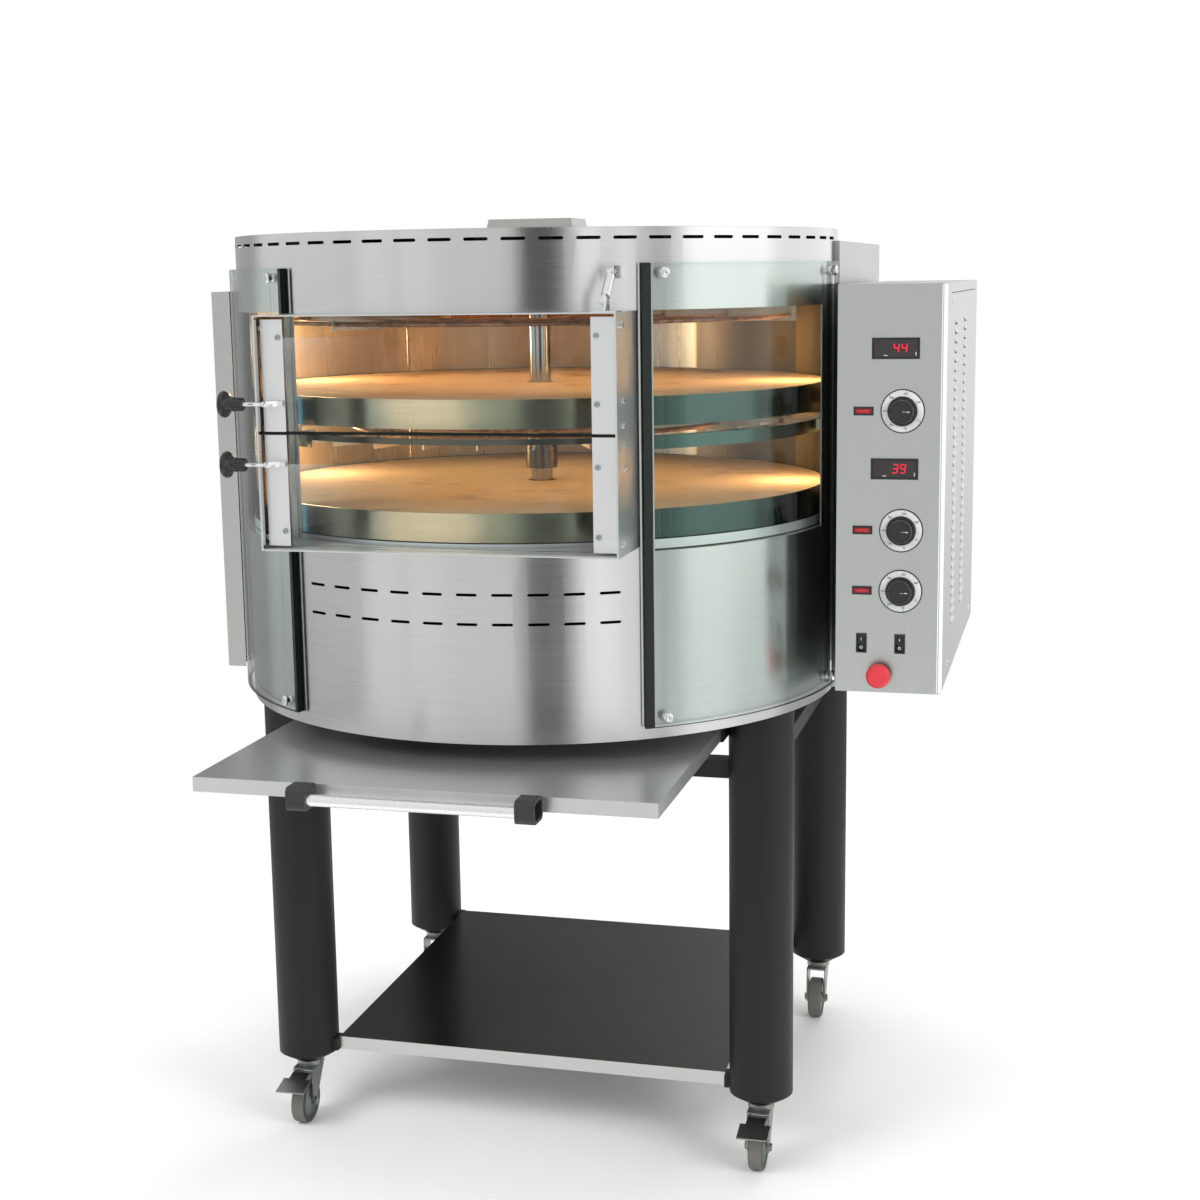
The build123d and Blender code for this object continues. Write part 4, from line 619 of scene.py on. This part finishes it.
refinished("side_windows", "bent_windows", [window_glass, glass_edge], is_window_edge, "oven")
rubber = plain_finish("rubber", (0.004, 0.006, 0.005), (0.010, 0.013, 0.011), 0.6, 200.0,
                      Specular_IOR_Level=0.15)
paint_nodes(rubber, "window_seals")


# Window screws: zinc-plated, with a domed head that has a cross recess, and a
# spacer behind the glass. The heads are pressed, so their edges are rounded.
zinc_plate = steel_finish("zinc_plate", (0.78, 0.80, 0.80), 0.18, (60.0, 60.0, 60.0), pull=0.0)


def bodies_of(bm):
    """The separate closed bodies of a mesh, each as its list of faces."""
    waiting = dict.fromkeys(bm.faces)
    bodies = []
    while waiting:
        found = [waiting.popitem()[0]]
        for face in found:
            joined = dict.fromkeys(other for edge in face.edges for other in edge.link_faces
                                   if other in waiting)
            for other in joined:
                del waiting[other]
            found.extend(joined)
        bodies.append(found)
    return bodies


def carry_on(bm, rim, rise, widen=1.0):
    """Extrudes a ring of edges along Z, widens or narrows it, and gives the new ring."""
    made = bmesh.ops.extrude_edge_only(bm, edges=rim)["geom"]
    verts = [part for part in made if isinstance(part, bmesh.types.BMVert)]
    fresh = set(verts)
    bmesh.ops.translate(bm, verts=verts, vec=(0.0, 0.0, rise))
    bmesh.ops.scale(bm, verts=verts, vec=(widen, widen, 1.0))
    return [part for part in made if isinstance(part, bmesh.types.BMEdge) and set(part.verts) <= fresh]


def ring(bm, segments, radius, height=0.0):
    verts = bmesh.ops.create_circle(bm, segments=segments, radius=radius)["verts"]
    bmesh.ops.translate(bm, verts=verts, vec=(0.0, 0.0, height))
    return verts, list(dict.fromkeys(edge for vert in verts for edge in vert.link_edges))


def standing(place, facing):
    """The turn and place of a shape made on Z that stands at a point and faces one way."""
    return Matrix.Translation(place) @ facing.to_track_quat("Z", "Y").to_matrix().to_4x4()


def cross_head(bm, place, facing, radius, height, finish=0):
    """A pressed screw head with a cross recess, seated at place."""
    shape = bmesh.new()
    _, rim = ring(shape, 24, radius)
    bmesh.ops.edgeloop_fill(shape, edges=rim)
    rim = carry_on(shape, rim, height * 0.40)
    rim = carry_on(shape, rim, height * 0.34, 0.88)
    rim = carry_on(shape, rim, height * 0.20, 0.74)
    wide, narrow = radius * 0.50, radius * 0.12
    plus, cross = ring(shape, 12, radius * 0.5, height)
    corners = ((narrow, wide), (-narrow, wide), (-narrow, narrow), (-wide, narrow), (-wide, -narrow),
               (-narrow, -narrow), (-narrow, -wide), (narrow, -wide), (narrow, -narrow),
               (wide, -narrow), (wide, narrow), (narrow, narrow))
    for vert, (x, y) in zip(plus, corners):
        vert.co = (x, y, height)
    bmesh.ops.bridge_loops(shape, edges=rim + cross)
    cross = carry_on(shape, cross, -height * 0.55, 0.7)
    bmesh.ops.edgeloop_fill(shape, edges=cross)
    add_shape(bm, shape, standing(place, facing), finish)


glass_out = 532.2
bm = merged_copy("window_screws")
for body in bodies_of(bm):
    middle = sum((face.calc_center_median() for face in body), Vector()) / len(body) - turning_axis
    outwards = Vector((middle.x, middle.y, 0.0)).normalized()
    parts = list(dict.fromkeys(part for face in body for part in (*face.verts, *face.edges))) + body
    cut = bmesh.ops.bisect_plane(bm, geom=parts, plane_co=turning_axis + outwards * glass_out * mm,
                                 plane_no=outwards, clear_outer=True)["geom_cut"]
    bmesh.ops.edgeloop_fill(bm, edges=[part for part in cut if isinstance(part, bmesh.types.BMEdge)])
for side in (-1, 1):
    for turn in (37.2, 83.4):
        outwards = Vector((side * math.sin(math.radians(turn)), -math.cos(math.radians(turn)), 0.0))
        for z in (852.5, 1536.5):
            cross_head(bm, at(*(outwards * glass_out).to_2d(), z), outwards, 0.0084, 0.0050)
new_piece("window_screw_set", bm, [zinc_plate], "oven", stands_for=["window_screws"])


# Screws of the back cover and of the control case's back. Zinc-plated, with pan
# heads, spaced evenly round the edges of both sheets.
bm = bmesh.new()
cover_screws = [(x, 604.0, z) for x in (-512.0, 512.0) for z in (838.0, 1020.0, 1202.0, 1384.0, 1566.0)]
cover_screws += [(x, 604.0, z) for x in (-256.0, 0.0, 256.0) for z in (838.0, 1566.0)]
cover_screws += [(x, 600.0, z) for x in (563.0, 705.0) for z in (866.0, 1182.0, 1498.0)]
for place in cover_screws:
    cross_head(bm, at(*place), Vector((0.0, 1.0, 0.0)), 0.0052, 0.0026)
new_piece("cover_screws", bm, [zinc_plate], "oven")


# Door frame, stay, hinge bolts and catches. The frame is 3 mm bright stainless
# plate; the stay, bolts and nuts are zinc plated.
frame_steel = steel_finish("frame_steel", (0.70, 0.73, 0.735), 0.34, level_grain, pull=0.0, wave=0.0006)
mirror_steel = steel_finish("mirror_steel", (0.66, 0.66, 0.64), 0.08, level_grain, pull=0.0, relief=0.02)
sill_steel = steel_finish("sill_steel", (0.74, 0.77, 0.77), 0.30, sideways_grain, pull=0.0, metal=0.35)
half_way_up = 1.2


def frame_part(face):
    """1 for the polished inner faces of the sides, 2 for the upper face of the bottom plate."""
    middle = face.calc_center_median() - turning_axis
    if abs(face.normal.x) > 0.7 and face.normal.x * middle.x < 0.0:
        return 1
    return 2 if face.normal.z > 0.7 and middle.z < half_way_up else 0


refinished("door_frame", "front_frame", [frame_steel, mirror_steel, sill_steel], frame_part, "oven",
           smooth=6.0)
paint_nodes(zinc_plate, "frame_stay", "door_fittings")


# Doors. Each is a 5 mm pane clamped at both ends between a folded end plate and
# a strip, and held by two cross-head screws a side.
door_glass = glass_finish("door_glass", (0.97, 0.985, 0.98))
pane_edge = plain_finish("pane_edge", (0.02, 0.05, 0.042), (0.05, 0.10, 0.085), 0.2, 40.0)
plate_steel = steel_finish("plate_steel", (0.80, 0.81, 0.81), 0.40, (6.0, 6.0, 500.0), spread=0.02,
                           pull=0.3)
screw_zinc = steel_finish("screw_zinc", (0.40, 0.44, 0.45), 0.22, (60.0, 60.0, 60.0), pull=0.0)
plate_face_y, thickest_screw = -557.5, 12.0 * mm
front = Vector((0.0, -1.0, 0.0))


def width_of(part):
    places = [vert.co.x for face in part for vert in face.verts]
    return max(places) - min(places)


for door, screw_heights in (("upper", (1447.5, 1348.0)), ("lower", (1256.0, 1152.5))):
    body = f"{door}_door"
    refinished(f"{door}_door_glass", f"{door}_pane", [door_glass, pane_edge],
               lambda face: abs(face.normal.y) < 0.7, body)
    bm = merged_copy(f"{door}_door_brackets")
    screws = [face for part in bodies_of(bm) if width_of(part) < thickest_screw for face in part]
    bmesh.ops.delete(bm, geom=screws, context="FACES")
    for x in (-249.0, 249.0):
        for z in screw_heights:
            cross_head(bm, at(x, plate_face_y, z), front, 0.0046, 0.0030, finish=1)
    new_piece(f"{door}_end_plates", bm, [plate_steel, screw_zinc], body, 6.0, [f"{door}_door_brackets"])


# Rubber strip along the upper door's lower edge, which closes the gap between the
# two doors. It is pushed onto the glass.
bm = bmesh.new()
# where each length of strip starts and ends, its front, its back and its top
for left, right, front_y, back_y, top in ((-241.5, 241.5, -556.3, -550.7, 1305.0),
                                          (-277.0, -242.0, -557.0, -552.0, 1304.8),
                                          (242.0, 277.0, -557.0, -552.0, 1304.8)):
    slab(bm, ((left, front_y), (right, front_y), (right, back_y), (left, back_y)), 1300.9, top)
new_piece("door_gap_strip", bm, [rubber], "upper_door")


# Door handles. A bright turned rod is screwed to the left end plate of each door
# and carries a black moulded knob with a flared rim.
knob_black = plain_finish("knob_black", (0.010, 0.010, 0.011), (0.022, 0.022, 0.024), 0.22, 90.0, 0.00005)
knob_starts = at(-300.5, 0.0, 0.0).x
for door in ("upper", "lower"):
    refinished(f"{door}_door_handle", f"{door}_handle", [zinc_plate, knob_black],
               lambda face: max(v.co.x for v in face.verts) < knob_starts, f"{door}_door")


# Control case and panel. The case is satin stainless with pressed louvres and a
# lid folded over its sides; the panel is a screwed tray with a turned-in edge.
satin = {"spread": 0.02, "pull": 0.2}
case_steel = steel_finish("case_steel", (0.68, 0.69, 0.67), 0.44, (5.0, 5.0, 420.0), **satin)
panel_steel = steel_finish("panel_steel", (0.58, 0.605, 0.585), 0.36, (420.0, 420.0, 5.0), **satin)
paint_nodes(case_steel, "control_case")
paint_nodes(panel_steel, "control_panel")


case_face_x = 720.0
trim_steel = steel_finish("trim_steel", (0.93, 0.94, 0.93), 0.16, upright_grain, **satin)
bright_edge = ((713.0, -168.5), (721.4, -165.4), (721.4, -160.0), (719.0, -160.0), (713.0, -166.0))
# A black strip on the case side, just behind the panel's edge: painted shade for the shadow in the gap
# between panel and case.
shadow_gap_strip = ((719.0, -160.0), (720.5, -160.0), (720.5, -149.0), (719.0, -149.0))
seam = ((719.0, -62.0), (720.4, -62.0), (720.4, 540.0), (719.0, 540.0))
bm = bmesh.new()
slab(bm, bright_edge, 852.0, 1512.0, 1)
slab(bm, shadow_gap_strip, 852.0, 1512.0, 2)
slab(bm, seam, 1496.6, 1497.8, 2)
for y, z in ((-40.0, 1483.0), (514.0, 1481.0), (9.0, 1164.0), (502.0, 1160.0), (-40.0, 878.0),
             (514.0, 878.0)):
    cross_head(bm, at(case_face_x, y, z), Vector((1.0, 0.0, 0.0)), 0.0048, 0.0022)
new_piece("case_trim", bm, [zinc_plate, trim_steel, rubber], "oven")
nylon = plain_finish("nylon", (0.014, 0.014, 0.015), (0.03, 0.03, 0.032), 0.42, 150.0)
paint_nodes(nylon, "cable_gland")


# Meters and pilot lamps. Two meters in black bezels show a temperature in red
# digits behind smoked plastic; three pilots have a red lens in a black bezel.
gloss_black = plain_finish("gloss_black", (0.008, 0.008, 0.009), (0.014, 0.014, 0.015), 0.16, 60.0,
                           0.00003)
smoked = plain_finish("smoked_window", (0.026, 0.022, 0.022), (0.034, 0.029, 0.028), 0.12, 30.0, 0.00002)
digit_red = plain_finish("digit_red", (0.80, 0.0, 0.03), (0.90, 0.01, 0.05), 0.5, 400.0,
                         Emission_Color=(1.0, 0.0, 0.045, 1.0), Emission_Strength=0.55)
lens_red = plain_finish("lens_red", (0.20, 0.008, 0.012), (0.26, 0.014, 0.018), 0.22, 90.0,
                        Emission_Color=(0.6, 0.02, 0.03, 1.0), Emission_Strength=0.10)
neon_red = plain_finish("neon_red", (0.46, 0.022, 0.03), (0.54, 0.032, 0.04), 0.4, 90.0,
                        Emission_Color=(1.0, 0.03, 0.05, 1.0), Emission_Strength=0.06)
mark_white = plain_finish("mark_white", (0.62, 0.65, 0.64), (0.76, 0.78, 0.77), 0.5, 300.0)
panel_y, pilot_x, meter_x, dial_x = -168.0, 590.5, 641.0, 653.0
dial_heights = (1312.0, 1119.0, 1019.5)


def bezel(width, height, depth, lip, sunk):
    """A bezel, standing on Z with X across and Y up, and the face of its window."""
    shape = bmesh.new()
    bmesh.ops.create_cube(shape, size=1.0, matrix=Matrix.Diagonal((width, height, depth, 1.0)))
    bmesh.ops.translate(shape, verts=shape.verts, vec=(0.0, 0.0, depth / 2))
    top = max(shape.faces, key=lambda face: face.calc_center_median().z)
    bmesh.ops.bevel(shape, geom=list(top.edges), offset=min(depth, lip) * 0.4, affect="EDGES",
                    segments=2, profile=0.5, material=-1)
    top = max(shape.faces, key=lambda face: (round(face.calc_center_median().z, 6), face.calc_area()))
    bmesh.ops.inset_region(shape, faces=[top], thickness=lip)
    bmesh.ops.inset_region(shape, faces=[top], thickness=0.0003, depth=-sunk)
    return shape, top


def bar(bm, length, width, x, y, upright, finish, height=0.0003):
    """One lit or printed stroke with pointed ends."""
    shape = bmesh.new()
    bmesh.ops.create_circle(shape, cap_ends=True, segments=6, radius=width * 0.55)
    for vert in shape.verts:
        vert.co.y += math.copysign(length / 2 - width * 0.55, vert.co.y)
    raise_faces(shape, shape.faces[:], height)
    lying = Matrix.Rotation(0.0 if upright else math.pi / 2, 4, "Z")
    add_shape(bm, shape, Matrix.Translation((x, y, 0.0)) @ lying, finish)


strokes_of = {"3": "abgcd", "4": "fgbc", "9": "abcdfg"}
stroke_places = {"a": (0, 1, 0), "g": (0, 0, 0), "d": (0, -1, 0), "f": (-1, 0.5, 1), "b": (1, 0.5, 1),
                 "c": (1, -0.5, 1)}
bm = bmesh.new()
for meter_z, reading in ((1412.0, "44"), (1219.0, "39")):
    shape, window = bezel(0.076, 0.034, 0.003, 0.0024, 0.0016)
    window.material_index = 1
    marks = bmesh.new()
    for index, digit in enumerate(reading):
        middle = 0.0010 + index * 0.0125
        for stroke in strokes_of[digit]:
            x, y, upright_stroke = stroke_places[stroke]
            lean = y * 0.0009
            bar(marks, 0.0068, 0.0017, middle + x * 0.0038 + lean, 0.0006 + y * 0.0068, upright_stroke, 2)
    bar(marks, 0.0060, 0.0012, -0.0160, -0.0112, False, 3)
    bar(marks, 0.0060, 0.0013, 0.0322, -0.0086, True, 3)
    bmesh.ops.translate(marks, verts=marks.verts, vec=(0.0, 0.0, 0.0014))
    for source in (shape, marks):
        add_shape(bm, source, standing(at(meter_x, panel_y, meter_z), front))
for pilot_z in dial_heights:
    shape, window = bezel(0.032, 0.014, 0.003, 0.0028, 0.0004)
    raise_faces(shape, [window], 0.0008)
    bmesh.ops.delete(shape, geom=[window], context="FACES_ONLY")
    for face in shape.faces:
        if all(abs(vert.co.x) < 0.0131 and abs(vert.co.y) < 0.0041 for vert in face.verts):
            face.material_index = 4
    bar(shape, 0.0170, 0.0034, 0.0, 0.0, False, 5, 0.0001)
    bmesh.ops.translate(shape, verts=shape.verts[-12:], vec=(0.0, 0.0, 0.0034))
    add_shape(bm, shape, standing(at(pilot_x, panel_y, pilot_z), front))
new_piece("meters_and_pilots", bm, [gloss_black, smoked, digit_red, mark_white, lens_red, neon_red],
          "oven", stands_for=["panel_indicators"])


# Dial scales: thin printed aluminium discs with a black rim, ticks and plain
# numbers from 0 to 300 over 300 degrees.
dial_pale = plain_finish("dial_pale", (0.66, 0.67, 0.69), (0.74, 0.75, 0.77), 0.32, 300.0, 0.00003)
print_black = plain_finish("print_black", (0.014, 0.014, 0.015), (0.024, 0.024, 0.025), 0.4, 300.0,
                           0.00003)


def numbers(bm, words, size, place, finish, height):
    """Plain printed numbers, lying in the plane of X and Y."""
    curve = bpy.data.curves.new("numbers", "FONT")
    curve.body = words
    curve.size = size
    curve.extrude = height
    curve.align_x = "CENTER"
    curve.align_y = "CENTER"
    written = bpy.data.objects.new("numbers", curve)
    mesh = bpy.data.meshes.new_from_object(written)
    fresh = bmesh.new()
    fresh.from_mesh(mesh)
    bmesh.ops.remove_doubles(fresh, verts=fresh.verts, dist=0.000001)
    add_shape(bm, fresh, Matrix.Translation(place), finish)
    bpy.data.objects.remove(written)
    bpy.data.meshes.remove(mesh)
    bpy.data.curves.remove(curve)


bm = bmesh.new()
for dial_z in dial_heights:
    stand = standing(at(dial_x, panel_y, dial_z), front)
    shape = bmesh.new()
    bmesh.ops.create_circle(shape, cap_ends=True, segments=96, radius=0.0355)
    raise_faces(shape, shape.faces[:], 0.0010)
    bmesh.ops.recalc_face_normals(shape, faces=shape.faces)
    for face in shape.faces:
        face.material_index = 1
    top = max(shape.faces, key=lambda face: face.calc_center_median().z)
    bmesh.ops.inset_region(shape, faces=[top], thickness=0.0019)
    top.material_index = 0
    marks = bmesh.new()
    for tick in range(31):
        turn = Matrix.Rotation(math.radians(-120.0 - tick * 10.0), 4, "Z")
        long_tick = tick % 5 == 0
        length, width, reach = (0.0026, 0.0006, 0.0322) if long_tick else (0.0015, 0.0004, 0.0327)
        stroke = bmesh.new()
        bar(stroke, length, width, 0.0, reach, True, 1, 0.0002)
        add_shape(marks, stroke, turn)
        if long_tick:
            numbers(marks, str(tick * 10), 0.0046, turn @ Vector((0.0, 0.0282, 0.0)), 1, 0.0001)
    bmesh.ops.translate(marks, verts=marks.verts, vec=(0.0, 0.0, 0.0011))
    for source in (shape, marks):
        add_shape(bm, source, stand)
new_piece("dials", bm, [dial_pale, print_black], "oven", stands_for=["dial_scales"])


# Thermostat knobs: black moulded plastic, a low skirt and a fluted grip, with a
# white line and two dots that point at the scale.
for index, dial_z in enumerate(dial_heights, 1):
    shape = bmesh.new()
    _, rim = ring(shape, 60, 0.0240)
    bmesh.ops.edgeloop_fill(shape, edges=rim)
    rim = carry_on(shape, rim, 0.0022)
    rim = carry_on(shape, rim, 0.0012, 0.955)
    rim = carry_on(shape, rim, 0.0, 0.860)
    rim = carry_on(shape, rim, 0.0150, 0.962)
    grip = {vert for edge in rim for vert in edge.verts}
    for vert in grip:
        turn = math.atan2(vert.co.y, vert.co.x)
        narrowed = 1.0 - 0.055 * (0.5 + 0.5 * math.cos(12.0 * turn))
        vert.co.x *= narrowed
        vert.co.y *= narrowed
    rim = carry_on(shape, rim, 0.0014, 0.95)
    rim = carry_on(shape, rim, 0.0, 0.88)
    rim = carry_on(shape, rim, -0.0006, 0.97)
    bmesh.ops.edgeloop_fill(shape, edges=rim)
    bmesh.ops.recalc_face_normals(shape, faces=shape.faces)
    front_z = max(vert.co.z for vert in shape.verts) - 0.0006
    marks = bmesh.new()
    for length, x in ((0.0052, 0.0108), (0.0016, 0.0060), (0.0016, 0.0025)):
        bar(marks, length, 0.0014, x, 0.0, False, 1)
    bmesh.ops.translate(marks, verts=marks.verts, vec=(0.0, 0.0, front_z - 0.0001))
    bm = bmesh.new()
    for source in (shape, marks):
        add_shape(bm, source, standing(at(dial_x, panel_y - 1.8, dial_z), front))
    new_piece(f"thermostat_knob_{index}", bm, [knob_black, mark_white], f"knob_{index}",
              stands_for=[f"dial_knob_{index}"])


# Rocker switches and the stop button. Black glossy rockers with a white stroke
# and ring moulded in; a red mushroom button on a black collar.
rocker_z = at(0.0, 0.0, 932.0).z
for index, x in ((1, pilot_x), (2, dial_x)):
    bm = merged_copy(f"rocker_{index}")
    fronts = [face for face in bm.faces if face.normal.y < -0.7]
    upper, lower = (max((face for face in fronts if side * (face.calc_center_median().z - rocker_z) > mm),
                        key=lambda face: face.calc_area()) for side in (1.0, -1.0))
    for half, height in ((upper, 938.6), (lower, 925.4)):
        stroke = bmesh.new()
        if half is upper:
            bar(stroke, 0.0046, 0.0011, 0.0, 0.0, True, 1, 0.0002)
        else:
            _, rim = ring(stroke, 24, 0.0024)
            inner = carry_on(stroke, rim, 0.0002)
            inner = carry_on(stroke, inner, 0.0, 0.62)
            carry_on(stroke, inner, -0.0002)
        corner = half.verts[0].co
        middle = at(x, 0.0, height)
        middle.y = corner.y - (middle.z - corner.z) * half.normal.z / half.normal.y
        add_shape(bm, stroke, standing(middle, half.normal), 1)
    new_piece(f"marked_rocker_{index}", bm, [gloss_black, mark_white], f"switch_{index}",
              stands_for=[f"rocker_{index}"])
paint_nodes(nylon, "switch_bezels")
stop_red = plain_finish("stop_red", (0.62, 0.03, 0.045), (0.72, 0.045, 0.06), 0.34, 80.0, 0.00005)
paint_nodes(stop_red, "stop_button")


# Stand: four round legs, the rails between them and the lower shelf. The legs and
# rails have a satin black powder coat; the shelf is stainless, its top painted near
# black as painted shade and a painted reflection of the dark underside above it.
powder_black = plain_finish("powder_black", (0.006, 0.0075, 0.0065), (0.013, 0.015, 0.0135), 0.48, 500.0,
                            0.00012, Specular_IOR_Level=0.30)
paint_nodes(powder_black, "legs", "stand_frame")
# The shelf top's near-black tone is painted shade and a painted reflection of the oven's dark underside.
shelf_steel_painted_dark = steel_finish("shelf_steel_painted_dark", (0.115, 0.12, 0.11), 0.22, sideways_grain, pull=0.3)
shelf_edge = steel_finish("shelf_edge", (0.62, 0.63, 0.61), 0.34, (4.0, 900.0, 900.0), pull=0.3)
refinished("lower_shelf", "lower_tray", [shelf_steel_painted_dark, shelf_edge], lambda face: face.normal.z < 0.7, "oven")


# Pull-out shelf with its handle: folded stainless, a bright tube between black
# moulded ends.
tray_steel = steel_finish("tray_steel", (0.62, 0.64, 0.62), 0.30, sideways_grain, pull=0.4, metal=0.85)
paint_nodes(tray_steel, "pull_shelf")
paint_nodes(nylon, "shelf_handle_ends")
tube_steel = steel_finish("tube_steel", (0.86, 0.87, 0.87), 0.28, (900.0, 4.0, 4.0), pull=0.3)
paint_nodes(tube_steel, "shelf_handle_tube")


# Castors: zinc-plated forks and pedals, grey rubber treads with darker walls, and
# greenish grey moulded hubs.
tread_grey = plain_finish("tread_grey", (0.11, 0.11, 0.096), (0.17, 0.17, 0.15), 0.62, 160.0)
wall_grey = plain_finish("wall_grey", (0.030, 0.031, 0.028), (0.05, 0.052, 0.046), 0.55, 160.0)
hub_grey = plain_finish("hub_grey", (0.12, 0.15, 0.13), (0.18, 0.21, 0.19), 0.45, 200.0)
# The forks and pedals are zinc painted much darker than the other zinc plate: painted shade for the shadow
# under the oven.
fork_zinc_painted_shade = steel_finish("fork_zinc_painted_shade", (0.30, 0.32, 0.295), 0.36, (60.0, 60.0, 60.0), smudge=0.12, pull=0.0)
axles = {index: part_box(f"castor_wheel_{index}") for index in (1, 2, 3, 4)}
hub_radius, tyre_half_width = 0.0312, 0.0127
for index, (low, high) in axles.items():
    axle = (Vector(low) + Vector(high)) / 2

    def wheel_part(face, axle=axle):
        away = face.calc_center_median() - axle
        reach = math.hypot(away.y, away.z)
        if reach < hub_radius or abs(away.x) > tyre_half_width:
            return 2
        return 0 if abs(face.normal.x) < 0.6 else 1

    refinished(f"castor_wheel_{index}", f"wheel_{index}_tyre", [tread_grey, wall_grey, hub_grey], wheel_part,
               f"wheel_{index}")
    paint_nodes(fork_zinc_painted_shade, f"castor_fork_{index}")
paint_nodes(fork_zinc_painted_shade, "brake_pedal_1", "brake_pedal_2")
